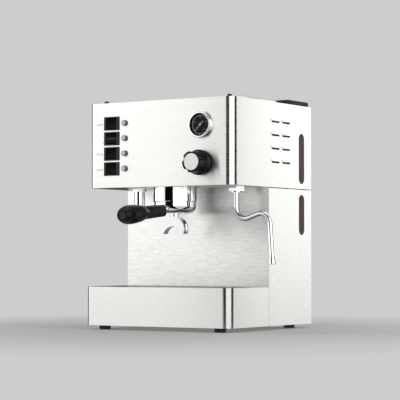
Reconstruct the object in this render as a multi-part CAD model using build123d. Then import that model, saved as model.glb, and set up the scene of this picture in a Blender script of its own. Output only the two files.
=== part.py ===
"""Home espresso machine: folded steel casing, bayonet brew group, steam wand, drip drawer and water tank.

Millimetres. +X is the machine's right, -Y its front and +Z up. Sizes are measured from the casing's centre
line and from the middle of the head's depth. The finished machine is moved as a whole so that its origin lies
on the standing plane, under the middle of its outline.
"""

import os
from math import asin, cos, radians, sin, sqrt, tan

from build123d import *

# Casing
BODY_WIDTH = 280.0
HEAD_DEPTH = 250.0
BODY_HEIGHT = 364.0
BASE_OVERHANG = 10.0
HEAD_HEIGHT = 139.0
BASE_HEIGHT = 63.0
BREW_DEPTH = 111.0
CORNER_RADIUS = 12.5
SHEET = 1.2
PAN_FLANGE = 12.0
FRONT_FLANGE = 12.0
BACK_FLANGE = 7.0

# Clearances, and how far a cut runs past the face that it opens
SEAM_GAP = 1.4
SLIDE_GAP = 0.6
SEAT_GAP = 0.3
WINDOW_FIT = 0.2
THREAD_FIT = 0.05
PIPE_HOLE_FIT = 0.5
CUT = 1.0

# Feet
FOOT_HEIGHT = 7.0
FOOT_RADIUS = 9.5
FOOT_TAPER = 1.5
FOOT_INSET_X = 28.0
FOOT_INSET_FRONT = 18.0
FOOT_INSET_BACK = 27.0
FOOT_SCREW_RADIUS = 2.0
FOOT_SCREW_HEAD_RADIUS = 4.0
FOOT_SCREW_HEAD_HEIGHT = 2.4
FOOT_SCREW_RECESS = 1.0

# Switches and lamps on the front panel
SWITCH_FROM_LEFT = 46.7
SWITCH_DROP = 33.8
SWITCH_SPACING = 2.6
SWITCH_COUNT = 4
CENTRE_OFF_SWITCH = 2
SWITCH_SIDE = 5.0
SWITCH_END = 1.9
SWITCH_LIP = 2.0
SWITCH_CORNER = 1.0
SWITCH_BEVEL = 0.6
SWITCH_BODY_INSET = 1.4
SWITCH_BODY_DEPTH = 27.0
ROCKER_WIDTH = 20.0
ROCKER_RADIUS = 8.8
ROCKER_TIP_ANGLE = 53.0
ROCKER_DISH = 1.2
ROCKER_THROW = 7.0
ROCKER_PIVOT_DEPTH = 3.4
ROCKER_GAP = 0.4
RIDGE_WIDTH = 16.0
RIDGE_HEIGHT = 1.6
RIDGE_PROUD = 1.0
TRUNNION_RADIUS = 1.6
TRUNNION_LENGTH = 1.6
TRUNNION_FIT = 0.05
LAMP_GAP = 6.1
LAMP_RADIUS = 4.7
LAMP_LENS_RADIUS = 4.0
LAMP_LIP = 3.6
LAMP_EDGE = 0.4
LAMP_DOME = 1.2
LAMP_SEAT = 0.4
LAMP_BODY_RADIUS = 3.0
LAMP_BODY_DEPTH = 14.0

# Pressure gauge
GAUGE_FROM_RIGHT = 59.0
GAUGE_DROP = 43.0
GAUGE_RADIUS = 21.2
GAUGE_RIM = 2.9
GAUGE_PROUD = 6.0
GAUGE_CAN_INSET = 1.6
GAUGE_CAN_DEPTH = 24.0
GAUGE_TAIL = 8.0
GAUGE_TAIL_RADIUS = 5.0
GAUGE_EDGE = 1.6
GAUGE_GLASS_SET = 0.3
GAUGE_GLASS = 1.0
GAUGE_DIAL_DEPTH = 4.4
GAUGE_DIAL_THICK = 0.8
NEEDLE_LENGTH = 13.5
NEEDLE_TAIL = 7.5
NEEDLE_WIDTH = 1.5
NEEDLE_THICK = 0.5
NEEDLE_POINT = 0.5
NEEDLE_LIFT = 0.8
NEEDLE_HUB_PROUD = 0.6
NEEDLE_PIN_DEPTH = 2.0
NEEDLE_PIN_ROOM = 1.0
NEEDLE_FIT = 0.05
NEEDLE_ANGLE = 225.0
NEEDLE_HUB_RADIUS = 2.0
NEEDLE_PIN_RADIUS = 0.8

# Steam knob, under the gauge, and its valve
KNOB_LIFT = 36.0
KNOB_SKIRT_RADIUS = 20.2
KNOB_SKIRT_LENGTH = 9.0
KNOB_SHOULDER = 1.2
KNOB_GRIP_RADIUS = 16.8
KNOB_NOSE_RADIUS = 15.8
KNOB_LENGTH = 26.0
KNOB_STANDOFF = 2.5
KNOB_FLUTES = 8
KNOB_FLUTE_RADIUS = 5.0
KNOB_FLUTE_DEPTH = 1.7
KNOB_CAP_RADIUS = 13.4
KNOB_CAP_THICK = 2.0
KNOB_CAP_PROUD = 0.4
KNOB_CAP_BEVEL = 0.35
SPINDLE_RADIUS = 4.0
SPINDLE_FIT = 0.05
SPINDLE_ROOM = 1.0
SPINDLE_IN_KNOB = 14.0
SPINDLE_SHORT = 12.0
VALVE_RADIUS = 13.0
VALVE_DEPTH = 44.0
VALVE_NUT = 12.0
VALVE_STEM_RADIUS = 9.5
VALVE_PORT_RADIUS = 6.0
VALVE_PORT_INSET = 8.0
VALVE_PORT_LENGTH = 20.0

# Brew group
GROUP_FROM_FRONT = 47.0
BELL_ROOM = 5.0
BELL_HEIGHT = 23.5
BELL_WALL = 1.8
BELL_CROWN = 2.5
BELL_BEVEL = 0.6
GASKET_HEIGHT = 4.0
RAMP_HEIGHT = 5.8
RAMP_GAP_SPAN = 60.0
LOCK_TURN = 50.0
GROUP_GAP = 0.35
SCREEN_MARGIN = 1.4
SCREEN_THICK = 1.4
SCREEN_DROP = 3.0
SCREEN_RINGS = ((10.0, 8), (17.0, 14), (23.0, 20))
SCREEN_HOLE_RADIUS = 1.0
SCREEN_SCREW_RADIUS = 5.0
SCREEN_SCREW_HEAD = 2.0
BLOCK_BORE = 3.0

# Portafilter
BASKET_RADIUS = 29.0
BASKET_WALL = 0.6
BASKET_RIM = 0.8
BASKET_DEPTH = 23.0
BASKET_HEEL = 2.0
BASKET_FIT = 0.3
BASKET_ROOM = 1.0
COLLAR_LAND = 2.0
EAR_HEIGHT = 3.8
EAR_SPAN = 48.0
EAR_DROP = 1.0
BOWL_SHOULDER = 3.6
BOWL_DEPTH = 18.6
BOWL_FILLET = 12.0
HANDLE_ANGLE = 6.5
HANDLE_STANDOFF = 8.4
HANDLE_LIFT = 4.1
HANDLE_DROOP = 4.85
ARM_RADIUS = 5.6
ARM_FIT = 0.35
ARM_ROOT = 7.6
FERRULE_RADIUS = 7.4
FERRULE_LENGTH = 5.0
NECK_WIDTH = 20.0
NECK_HEIGHT = 19.2
NECK_LENGTH = 76.0
NECK_SWELL = 1.4
NECK_CORNER = 6.0
NECK_EDGE = 1.2
NECK_SOCKET = 2.0
BULB_WIDTH = 33.0
BULB_HEIGHT = 30.0
BULB_ROOT = 48.0
BULB_CREST = 108.0
BULB_END = 135.0
BULB_BLUNTNESS = 2.3
BULB_FIRST = -62.0
BULB_LAST = 64.0
BULB_STATIONS = 9
PLUG_RADIUS = 6.0
PLUG_DEPTH = 3.0
PLUG_PROUD = 0.6
PLUG_FIT = 0.1
SPOUT_BOSS_RADIUS = 7.6
SPOUT_BOSS_LENGTH = 5.0
SPOUT_OUTER_RADIUS = 18.5
SPOUT_INNER_RADIUS = 13.0
SPOUT_HEIGHT = 28.0
SPOUT_WIDTH = 17.0
SPOUT_BORE_RADIUS = 3.2
CHANNEL_WIDTH = 9.0
CHANNEL_DEPTH = 2.0

# Steam wand, as reach out from its swivel and drop below the head, and hot-water outlet
WAND_FROM_RIGHT = 35.4
WAND_FROM_FRONT = 69.0
WAND_RADIUS = 4.2
WAND_BORE = 2.6
WAND_LOW_DROP = 58.4
WAND_HIGH_REACH = 61.1
WAND_HIGH_DROP = 37.5
WAND_TIP_REACH = 67.2
WAND_TIP_DROP = 125.3
WAND_BEND_RADIUS_LOW = 16.5
WAND_BEND_RADIUS_HIGH = 17.5
TIP_RADIUS = 5.7
TIP_LENGTH = 16.0
TIP_FLARE = 10.0
TIP_COLLAR = 3.0
TIP_NOSE = 1.5
TIP_HOLES = 3
TIP_HOLE_RADIUS = 0.7
TIP_HOLE_CIRCLE = 2.6
SOCKET_ACROSS_FLATS = 24.0
SOCKET_HEIGHT = 7.5
SOCKET_RIM = 2.0
BALL_RADIUS = 7.5
WAND_TOP_GAP = 0.5
WAND_COLLAR_GAP = 1.5
WAND_COLLAR_EDGE = 1.2
OUTLET_FROM_LEFT = 64.0
OUTLET_FROM_FRONT = 55.0
OUTLET_RADIUS = 8.8
OUTLET_LENGTH = 42.0
OUTLET_EDGE = 1.5
OUTLET_BORE = 4.0
OUTLET_NUT_FLATS = 22.0
OUTLET_NUT_HEIGHT = 5.0

# Vents and level windows
LOUVRE_LENGTH = 26.5
LOUVRE_HEIGHT = 4.6
LOUVRE_PROUD = 2.4
LOUVRE_MOUTH = 2.8
LOUVRE_COLUMNS_FROM_BACK = (117.3, 82.9)
LOUVRE_DROP = 26.1
LOUVRE_PITCH = 22.0
LOUVRE_ROWS = 4
WINDOW_FROM_BACK = 32.5
WINDOW_WIDTH = 17.8
WINDOW_FLANGE = 2.5
UPPER_WINDOW_LIFT = 8.3
UPPER_WINDOW_DROP = 46.6
LOWER_WINDOW_DROP = 9.7
LOWER_WINDOW_LENGTH = 67.0

# Top
TOP_RECESS = 0.8
RAIL_FROM_SIDE = 19.5
RAIL_FRONT_GAP = 20.0
RAIL_BACK_GAP = 8.0
RAIL_HEIGHT = 6.6
RAIL_THICK = 5.0
RAIL_FLAT = 0.4
RAIL_CAP_LENGTH = 7.0
TOP_SLOT_LENGTH = 40.0
TOP_SLOT_WIDTH = 4.0
TOP_SLOT_PITCH_X = 55.0
TOP_SLOT_PITCH_Y = 20.0
TOP_SLOT_MARGIN_X = 5.0
TOP_SLOT_MARGIN_Y = 30.0

# Water tank
TANK_BAY = 71.0
TANK_GAP = 2.0
TANK_WALL = 2.5
TANK_SIDE_GAP = 5.0
TANK_LIFT = 65.0
TANK_DOCK_GAP = 0.4
TANK_CORNER = 8.0
TANK_NIPPLE_RADIUS = 7.0
TANK_NIPPLE_LENGTH = 14.0
TANK_NIPPLE_BORE = 4.0
LID_HEIGHT = 7.8
LID_WALL = 2.5
LID_INSET = 2.5
LID_LIFT = 0.3
LID_BARREL_RADIUS = 3.9
LID_HINGE_X = 60.0
LID_EAR_WIDTH = 9.0
LID_EAR_RADIUS = 3.4
LID_EAR_ROOT = 8.0
LID_EAR_GAP = 0.4
LID_NOTCH_GAP = 1.2
LID_FRONT_GAP = 0.5
LID_CORNER = 6.0
LID_EDGE = 2.0
LID_PIN_RADIUS = 2.0
LID_PIN_LENGTH = 30.0
LID_PIN_FIT = 0.05

# Drip drawer
TRAY_WALL = 1.5
GRID_THICK = 1.5
GRID_PROUD = 0.3
GRID_FIT = 0.5
GRID_SLOT_LENGTH = 30.0
GRID_SLOT_WIDTH = 2.8
GRID_SLOT_PITCH_X = 37.0
GRID_SLOT_PITCH_Y = 11.0
GRID_MARGIN_X = 8.0
GRID_MARGIN_Y = 5.0

# Boiler
BOILER_RADIUS = 36.0
BOILER_HEIGHT = 92.0
BOILER_FLANGE_LAND = 7.0
BOILER_FLANGE = 6.0
BOILER_SHOULDER = 12.0
BOILER_CAP_RADIUS = 18.0
POST_RADIUS = 3.2
POST_HEIGHT = 14.0
POST_X = 12.0
THERMOSTAT_RADIUS = 5.5
THERMOSTAT_HEIGHT = 10.0
THERMOSTAT_STEP = 1.5

# Pump and brew valve
PUMP_X = 20.0
PUMP_FROM_SPLASH = 34.0
PUMP_LIFT = 55.0
PUMP_RADIUS = 17.0
PUMP_COIL = 44.0
PUMP_LENGTH = 110.0
PUMP_COIL_EDGE = 4.0
PUMP_STUB_RADIUS = 5.0
PUMP_STUB = 12.0
PUMP_MOUNT_RADIUS = 8.0
PUMP_MOUNT_HEIGHT = 6.0
PUMP_MOUNT_X = 16.0
BRACKET_HALF = 40.0
BRACKET_HALF_WIDTH = 16.0
BRACKET_THICK = 2.0
SOLENOID_ASIDE = 6.0
SOLENOID_FROM_SPLASH = 6.0
SOLENOID_HALF = 14.0
SOLENOID_BLOCK = 18.0
SOLENOID_COIL_X = 16.0
SOLENOID_COIL_Y = 18.0
SOLENOID_COIL = 30.0
SOLENOID_HEIGHT = 56.0
SOLENOID_GAP = 2.0
SOLENOID_COIL_EDGE = 4.0

# Hose and pipes
HOSE_RADIUS = 4.0
HOSE_BORE = 2.8
HOSE_FROM_RIGHT = 28.0
HOSE_LIFT = 33.0
HOSE_BEND = 9.0
PIPE_RADIUS = 3.0
PIPE_BEND = 10.0
TAPPING_LIFT = 66.8
WAND_PIPE_RADIUS = 2.2
WAND_PIPE_BEND = 4.0
WAND_PIPE_LIFT = 9.0
OUTLET_PIPE_LIFT = 12.0
CAPILLARY_RADIUS = 1.5
CAPILLARY_BEND = 8.0

# Back panel, mains inlet and case screws
INLET_FROM_LEFT = 55.0
INLET_LIFT = 38.0
INLET_WIDTH = 28.0
INLET_HEIGHT = 20.0
INLET_DEPTH = 22.0
INLET_FLANGE = 4.0
INLET_FLANGE_THICK = 2.0
INLET_WALL = 2.0
INLET_FLOOR = 3.0
INLET_PINS = ((-7.0, -1.5), (7.0, -1.5), (0.0, 2.5))
INLET_PIN_HALF_WIDTH = 1.0
INLET_PIN_HALF_HEIGHT = 2.0
INLET_PIN_SET = 2.0
BACK_SLOT_LENGTH = 60.0
BACK_SLOT_WIDTH = 4.0
BACK_SLOT_PITCH = 14.0
BACK_SLOT_COUNT = 8
BACK_SLOT_DROP = 81.0
BACK_SLOT_FROM_SIDE = 70.0
CASE_SCREW_HEAD_RADIUS = 3.4
CASE_SCREW_RADIUS = 1.9
CASE_SCREW_HEAD = 2.0
CASE_SCREW_LENGTH = 5.0
CASE_SCREW_LOW = 20.0
CASE_SCREW_MIDDLE = 14.0
CASE_SCREW_HIGH = 16.0

# Places of the casing's walls
HALF = BODY_WIDTH / 2
INNER = HALF - SHEET
FRONT_Y = -HEAD_DEPTH / 2
BACK_Y = HEAD_DEPTH / 2
BASE_FRONT_Y = FRONT_Y - BASE_OVERHANG
SPLASH_Y = FRONT_Y + BREW_DEPTH
BULKHEAD_Y = BACK_Y - TANK_BAY
BODY_Z = FOOT_HEIGHT
TOP_Z = BODY_Z + BODY_HEIGHT
HEAD_Z = TOP_Z - HEAD_HEIGHT
BASE_TOP_Z = BODY_Z + BASE_HEIGHT
PAN_TOP_Z = BODY_Z + SHEET
FLOOR_TOP_Z = HEAD_Z + SHEET
PLATE_TOP_Z = TOP_Z - TOP_RECESS
PLATE_Z = PLATE_TOP_Z - SHEET
FEET = [
    (side * (HALF - FOOT_INSET_X), y)
    for side in (-1, 1)
    for y in (BASE_FRONT_Y + FOOT_INSET_FRONT, BACK_Y - FOOT_INSET_BACK)
]

# Places on the front panel, the sides and the top
SWITCH_WIDTH = ROCKER_WIDTH + 2 * SWITCH_SIDE
SWITCH_HEIGHT = 2 * (ROCKER_RADIUS + ROCKER_GAP + SWITCH_END)
SWITCH_PITCH = SWITCH_HEIGHT + SWITCH_SPACING
SWITCH_X = -HALF + SWITCH_FROM_LEFT
SWITCH_Z = [TOP_Z - SWITCH_DROP - i * SWITCH_PITCH for i in range(SWITCH_COUNT)]
LAMP_X = SWITCH_X + SWITCH_WIDTH / 2 + LAMP_GAP + LAMP_RADIUS
GAUGE_X = HALF - GAUGE_FROM_RIGHT
GAUGE_Z = TOP_Z - GAUGE_DROP
GAUGE_DIAL_RADIUS = GAUGE_RADIUS - GAUGE_RIM
GAUGE_CAN_RADIUS = GAUGE_RADIUS - GAUGE_CAN_INSET
KNOB_X = GAUGE_X
KNOB_Z = HEAD_Z + KNOB_LIFT
WINDOW_Y = BACK_Y - WINDOW_FROM_BACK
UPPER_WINDOW_Z = (HEAD_Z + UPPER_WINDOW_LIFT, TOP_Z - UPPER_WINDOW_DROP)
LOWER_WINDOW_TOP_Z = HEAD_Z - LOWER_WINDOW_DROP
LOWER_WINDOW_Z = (LOWER_WINDOW_TOP_Z - LOWER_WINDOW_LENGTH, LOWER_WINDOW_TOP_Z)
RAIL_X = HALF - RAIL_FROM_SIDE
RAIL_FRONT = FRONT_Y + RAIL_FRONT_GAP
RAIL_BACK = BULKHEAD_Y - RAIL_BACK_GAP

# Places in the brew group and under the head
GROUP_Y = FRONT_Y + GROUP_FROM_FRONT
COLLAR_RADIUS = BASKET_RADIUS + COLLAR_LAND
BELL_RADIUS = COLLAR_RADIUS + BELL_ROOM
BELL_INNER_RADIUS = BELL_RADIUS - BELL_WALL
BOWL_RADIUS = COLLAR_RADIUS + BOWL_SHOULDER
SCREEN_RADIUS = BASKET_RADIUS - SCREEN_MARGIN
BLOCK_RADIUS = SCREEN_RADIUS
HANDLE_START = BOWL_RADIUS + HANDLE_STANDOFF
BELL_Z = HEAD_Z - BELL_HEIGHT
CROWN_Z = HEAD_Z - BELL_CROWN
GASKET_Z = CROWN_Z - GASKET_HEIGHT
SCREEN_Z = GASKET_Z - SCREEN_DROP
RIM_Z = GASKET_Z - SEAT_GAP
COLLAR_Z = RIM_Z - BASKET_RIM
BASKET_FLOOR_Z = RIM_Z - BASKET_DEPTH
EAR_TOP_Z = COLLAR_Z - EAR_DROP
EAR_Z = EAR_TOP_Z - EAR_HEIGHT
RAMP_TOP_Z = EAR_Z - SEAT_GAP
RAMP_Z = RAMP_TOP_Z - RAMP_HEIGHT
BOWL_TOP_Z = BELL_Z - SLIDE_GAP
BOWL_Z = BOWL_TOP_Z - BOWL_DEPTH
WAND_X = HALF - WAND_FROM_RIGHT
WAND_Y = FRONT_Y + WAND_FROM_FRONT
OUTLET_X = -HALF + OUTLET_FROM_LEFT
OUTLET_Y = FRONT_Y + OUTLET_FROM_FRONT

# Places of the tank, its lid and the inner works
TANK_FRONT_Y = BULKHEAD_Y + SHEET + TANK_GAP
TANK_BACK_Y = BACK_Y - SHEET - TANK_GAP
TANK_MIDDLE_Y = (TANK_FRONT_Y + TANK_BACK_Y) / 2
TANK_HALF = INNER - TANK_SIDE_GAP
TANK_FLOOR_Z = BODY_Z + TANK_LIFT
LID_PIN_Y = TANK_BACK_Y - LID_BARREL_RADIUS
LID_Z = TOP_Z + LID_LIFT
LID_PIN_Z = LID_Z + LID_BARREL_RADIUS
LID_TOP_Z = LID_Z + LID_HEIGHT
GRID_TOP_Z = BASE_TOP_Z + GRID_PROUD
PUMP_Y = SPLASH_Y + PUMP_FROM_SPLASH
PUMP_Z = BODY_Z + PUMP_LIFT
SOLENOID_X = OUTLET_X + SOLENOID_ASIDE
SOLENOID_Y = SPLASH_Y + SOLENOID_FROM_SPLASH
HOSE_X = HALF - HOSE_FROM_RIGHT
HOSE_Z = BODY_Z + HOSE_LIFT
TAPPING_Z = FLOOR_TOP_Z + TAPPING_LIFT
WAND_PIPE_Z = HEAD_Z + WAND_PIPE_LIFT
OUTLET_PIPE_Z = HEAD_Z + OUTLET_PIPE_LIFT
BOILER_FLANGE_RADIUS = BOILER_RADIUS + BOILER_FLANGE_LAND
INLET_X = -HALF + INLET_FROM_LEFT
INLET_Z = BODY_Z + INLET_LIFT


def block(x, y, z):
    """A box between three (low, high) pairs."""
    centre = ((x[0] + x[1]) / 2, (y[0] + y[1]) / 2, (z[0] + z[1]) / 2)
    return Pos(*centre) * Box(x[1] - x[0], y[1] - y[0], z[1] - z[0])


def rod(start, end, radius):
    """A round bar between two points."""
    a, b = Vector(*start), Vector(*end)
    plane = Plane(origin=a, z_dir=b - a)
    return extrude(plane * Circle(radius), (b - a).length)


def upright(x, y, z, radius):
    """A round bar along Z between z[0] and z[1]."""
    return rod((x, y, z[0]), (x, y, z[1]), radius)


def facing(x, z, y, radius):
    """A round bar along Y between y[0] and y[1]."""
    return rod((x, y[0], z), (x, y[1], z), radius)


def turned(points, x=0.0, y=0.0):
    """A solid of revolution about a vertical axis, from (radius, z) points."""
    face = make_face(Polyline(*[(r, 0, z) for r, z in points], close=True))
    return Pos(x, y, 0) * revolve(face, Axis.Z)


def hexagon(x, y, z, across_flats):
    """A hexagonal bar along Z."""
    face = RegularPolygon(across_flats / 2, 6, major_radius=False)
    return Pos(x, y, z[0]) * extrude(face, z[1] - z[0])


def bent_bar(points, radii, radius, bore=0.0):
    """A bar, or a tube where it has a bore, along straight runs joined by arcs."""
    path = FilletPolyline(*points, radius=radii)
    section = Plane(origin=path @ 0, z_dir=path % 0) * Circle(radius)
    bar = sweep(section, path=path)
    if bore:
        bar -= sweep(Plane(origin=path @ 0, z_dir=path % 0) * Circle(bore), path=path)
    return bar


def fitting(room, size, pitch):
    """How many things of one size go into a room at one pitch."""
    return int((room - size) / pitch) + 1


def slot_field(room, size, pitch):
    """Round-ended slots along X in even rows and columns, as many as a room takes, about the origin."""
    columns, rows = (fitting(*each) for each in zip(room, size, pitch))
    places = GridLocations(*pitch, columns, rows)
    return Sketch() + [place * SlotOverall(*size) for place in places]


def wrap(front_y, back_y, z):
    """A U-shaped folded sheet: front wall, two rounded corners and two side walls."""
    outer = block((-HALF, HALF), (front_y, back_y), z)
    outer = fillet(outer.edges().filter_by(Axis.Z).group_by(Axis.Y)[0], CORNER_RADIUS)
    hollow = block((-INNER, INNER), (front_y + SHEET, back_y + SHEET), z)
    hollow = fillet(hollow.edges().filter_by(Axis.Z).group_by(Axis.Y)[0], CORNER_RADIUS - SHEET)
    return outer - hollow


def window_slot(z, grow=0.0):
    """The level window's round-ended outline on the centre plane, looking out to the right."""
    face = SlotOverall(z[1] - z[0] + 2 * grow, WINDOW_WIDTH + 2 * grow)
    plane = Plane(origin=(0, WINDOW_Y, (z[0] + z[1]) / 2), x_dir=(0, 0, 1), z_dir=(1, 0, 0))
    return plane * face


def louvre_places():
    """Places of the pressed vents on one side, as (middle y, top z)."""
    for row in range(LOUVRE_ROWS):
        for inset in LOUVRE_COLUMNS_FROM_BACK:
            yield BACK_Y - inset, TOP_Z - LOUVRE_DROP - row * LOUVRE_PITCH


def louvre_hood(side, y, top):
    """A pressed hood, shut above and at both ends, and the opening behind and below its lip."""
    lip = top - LOUVRE_HEIGHT
    mouth = lip - LOUVRE_MOUTH
    ceiling = top - SHEET
    inside = HALF + LOUVRE_PROUD - SHEET
    hood = [(INNER, top), (HALF, top), (HALF + LOUVRE_PROUD, lip), (INNER, lip)]
    opening = [(INNER, ceiling), (HALF, ceiling), (inside, lip), (inside, mouth), (INNER, mouth)]

    def prism(points, length):
        face = make_face(Polyline(*[(side * px, 0, pz) for px, pz in points], close=True))
        return Pos(0, y, 0) * extrude(face, length / 2, dir=(0, 1, 0), both=True)

    return prism(hood, LOUVRE_LENGTH), prism(opening, LOUVRE_LENGTH - 2 * SHEET)


def head_wrap():
    """Front panel and upper sides in one folded sheet, with its cut-outs and pressed vents."""
    sheet = wrap(FRONT_Y, BACK_Y, (HEAD_Z, TOP_Z))
    through = (FRONT_Y - CUT, FRONT_Y + SHEET + CUT)
    body = SWITCH_BODY_INSET - WINDOW_FIT
    for z in SWITCH_Z:
        sheet -= block(
            (SWITCH_X - SWITCH_WIDTH / 2 + body, SWITCH_X + SWITCH_WIDTH / 2 - body),
            through,
            (z - SWITCH_HEIGHT / 2 + body, z + SWITCH_HEIGHT / 2 - body),
        )
        sheet -= facing(LAMP_X, z, through, LAMP_BODY_RADIUS + WINDOW_FIT)
    sheet -= facing(GAUGE_X, GAUGE_Z, through, GAUGE_CAN_RADIUS + WINDOW_FIT)
    sheet -= facing(KNOB_X, KNOB_Z, through, SPINDLE_RADIUS + SPINDLE_ROOM)
    sheet -= extrude(window_slot(UPPER_WINDOW_Z), HALF + CUT)
    for side in (-1, 1):
        for y, top in louvre_places():
            hood, opening = louvre_hood(side, y, top)
            sheet = sheet + hood - opening
        sheet += back_flange(side, (HEAD_Z, TOP_Z))
    return sheet


def head_floor():
    """Underside of the head, with holes for the group, the wand and the outlet."""
    plate = block((-INNER, INNER), (FRONT_Y + SHEET, BULKHEAD_Y), (HEAD_Z, FLOOR_TOP_Z))
    plate = fillet(plate.edges().filter_by(Axis.Z).group_by(Axis.Y)[0], CORNER_RADIUS - SHEET)
    reach = (HEAD_Z - CUT, FLOOR_TOP_Z + CUT)
    plate -= upright(0, GROUP_Y, reach, BLOCK_RADIUS + SEAT_GAP)
    plate -= upright(WAND_X, WAND_Y, reach, WAND_RADIUS + SEAT_GAP)
    plate -= upright(OUTLET_X, OUTLET_Y, reach, OUTLET_BORE)
    return plate - upright(feed_pipe_x(), PUMP_Y, reach, PIPE_RADIUS + PIPE_HOLE_FIT)


def top_plate():
    """Cup-warming plate let into the head's top, with round-ended vent slots."""
    plate = block((-INNER, INNER), (FRONT_Y + SHEET, BULKHEAD_Y), (PLATE_Z, PLATE_TOP_Z))
    plate = fillet(plate.edges().filter_by(Axis.Z).group_by(Axis.Y)[0], CORNER_RADIUS - SHEET)
    across = 2 * (RAIL_X - TOP_SLOT_MARGIN_X) - RAIL_THICK
    along = BULKHEAD_Y - FRONT_Y - SHEET - 2 * TOP_SLOT_MARGIN_Y
    size, pitch = (TOP_SLOT_LENGTH, TOP_SLOT_WIDTH), (TOP_SLOT_PITCH_X, TOP_SLOT_PITCH_Y)
    slots = slot_field((across, along), size, pitch)
    middle = (FRONT_Y + BULKHEAD_Y) / 2
    return plate - Pos(0, middle, PLATE_Z) * extrude(slots, SHEET)


def rail_bar(side, y):
    """One length of cup rail with a rounded top."""
    x = side * RAIL_X
    bar = block(
        (x - RAIL_THICK / 2, x + RAIL_THICK / 2), y, (PLATE_TOP_Z, PLATE_TOP_Z + RAIL_HEIGHT)
    )
    return fillet(bar.edges().filter_by(Axis.Y).group_by(Axis.Z)[-1], (RAIL_THICK - RAIL_FLAT) / 2)


def cup_rails():
    return [rail_bar(side, (RAIL_FRONT + RAIL_CAP_LENGTH, RAIL_BACK - RAIL_CAP_LENGTH)) for side in (-1, 1)]


def rail_end_caps():
    ends = ((RAIL_FRONT, RAIL_FRONT + RAIL_CAP_LENGTH), (RAIL_BACK - RAIL_CAP_LENGTH, RAIL_BACK))
    return [rail_bar(side, y) for side in (-1, 1) for y in ends]


def splash_panel():
    """Brushed wall behind the cups."""
    return block((-INNER, INNER), (SPLASH_Y, SPLASH_Y + SHEET), (PAN_TOP_Z, HEAD_Z))


def case_screw_places():
    """Centres of the back panel's screws, as (x, z), in one column at each side."""
    x = INNER - BACK_FLANGE / 2
    levels = (BODY_Z + CASE_SCREW_LOW, HEAD_Z - CASE_SCREW_MIDDLE, TOP_Z - CASE_SCREW_HIGH)
    return [(side * x, z) for side in (-1, 1) for z in levels]


def back_flange(side, z):
    """Flange folded in along a side wall's back edge, tapped for the back panel's screws."""
    x = sorted((side * (INNER - BACK_FLANGE), side * INNER))
    y = (BACK_Y - 2 * SHEET, BACK_Y - SHEET)
    flange = block(x, y, z)
    for screw_x, screw_z in case_screw_places():
        flange -= facing(screw_x, screw_z, y, CASE_SCREW_RADIUS + THREAD_FIT)
    return flange


def lower_side(side):
    """Lower side panel with a flange folded in behind the splash panel and one at its back edge."""
    top = HEAD_Z - SEAM_GAP
    panel = block(sorted((side * INNER, side * HALF)), (SPLASH_Y, BACK_Y), (BODY_Z, top))
    fold = sorted((side * (INNER - FRONT_FLANGE), side * INNER))
    lift = (PAN_TOP_Z + PAN_FLANGE, top)
    panel += block(fold, (SPLASH_Y + SHEET, SPLASH_Y + 2 * SHEET), lift)
    panel += back_flange(side, lift)
    if side > 0:
        panel -= extrude(window_slot(LOWER_WINDOW_Z), HALF + CUT)
    return panel


def level_window(z):
    """Smoked lens: a nose that fills the slot and a flange behind the sheet."""
    nose = extrude(window_slot(z, -WINDOW_FIT), SHEET + WINDOW_FIT)
    flange = extrude(window_slot(z, WINDOW_FLANGE), SHEET)
    return Pos(INNER, 0, 0) * nose + Pos(INNER - SHEET, 0, 0) * flange


def base_pan():
    """Floor pan with side flanges folded up inside the lower sides."""
    side = INNER - SLIDE_GAP
    pan = block((-side, side), (BASE_FRONT_Y + SHEET + SLIDE_GAP, SPLASH_Y), (BODY_Z, PAN_TOP_Z))
    front = pan.edges().filter_by(Axis.Z).group_by(Axis.Y)[0]
    pan = fillet(front, CORNER_RADIUS - SHEET)
    pan += block((-INNER, INNER), (SPLASH_Y, BACK_Y - SHEET), (BODY_Z, PAN_TOP_Z))
    for edge in (-1, 1):
        x = sorted((edge * (INNER - SHEET), edge * INNER))
        pan += block(x, (SPLASH_Y + SHEET, BACK_Y - SHEET), (PAN_TOP_Z, PAN_TOP_Z + PAN_FLANGE))
    for x, y in FEET:
        pan -= upright(x, y, (BODY_Z, PAN_TOP_Z), FOOT_SCREW_RADIUS + SEAT_GAP)
    return pan


def rubber_feet():
    """Tapered feet with a counterbore for their screws."""
    seat = FOOT_SCREW_RECESS + FOOT_SCREW_HEAD_HEIGHT
    hole = FOOT_SCREW_RADIUS + SEAT_GAP
    bore = FOOT_SCREW_HEAD_RADIUS + SEAT_GAP
    profile = [
        (bore, 0), (FOOT_RADIUS - FOOT_TAPER, 0), (FOOT_RADIUS, FOOT_TAPER), (FOOT_RADIUS, FOOT_HEIGHT),
        (hole, FOOT_HEIGHT), (hole, seat), (bore, seat),
    ]
    return [turned(profile, x, y) for x, y in FEET]


def casing_screws():
    """Screws up through the feet into the pan, and through the back panel into the side flanges."""
    screws = []
    head = FOOT_SCREW_RECESS
    for x, y in FEET:
        screw = upright(x, y, (head, head + FOOT_SCREW_HEAD_HEIGHT), FOOT_SCREW_HEAD_RADIUS)
        screws.append(screw + upright(x, y, (head, PAN_TOP_Z), FOOT_SCREW_RADIUS))
    for x, z in case_screw_places():
        screw = facing(x, z, (BACK_Y, BACK_Y + CASE_SCREW_HEAD), CASE_SCREW_HEAD_RADIUS)
        screws.append(screw + facing(x, z, (BACK_Y - CASE_SCREW_LENGTH, BACK_Y), CASE_SCREW_RADIUS))
    return screws


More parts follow.
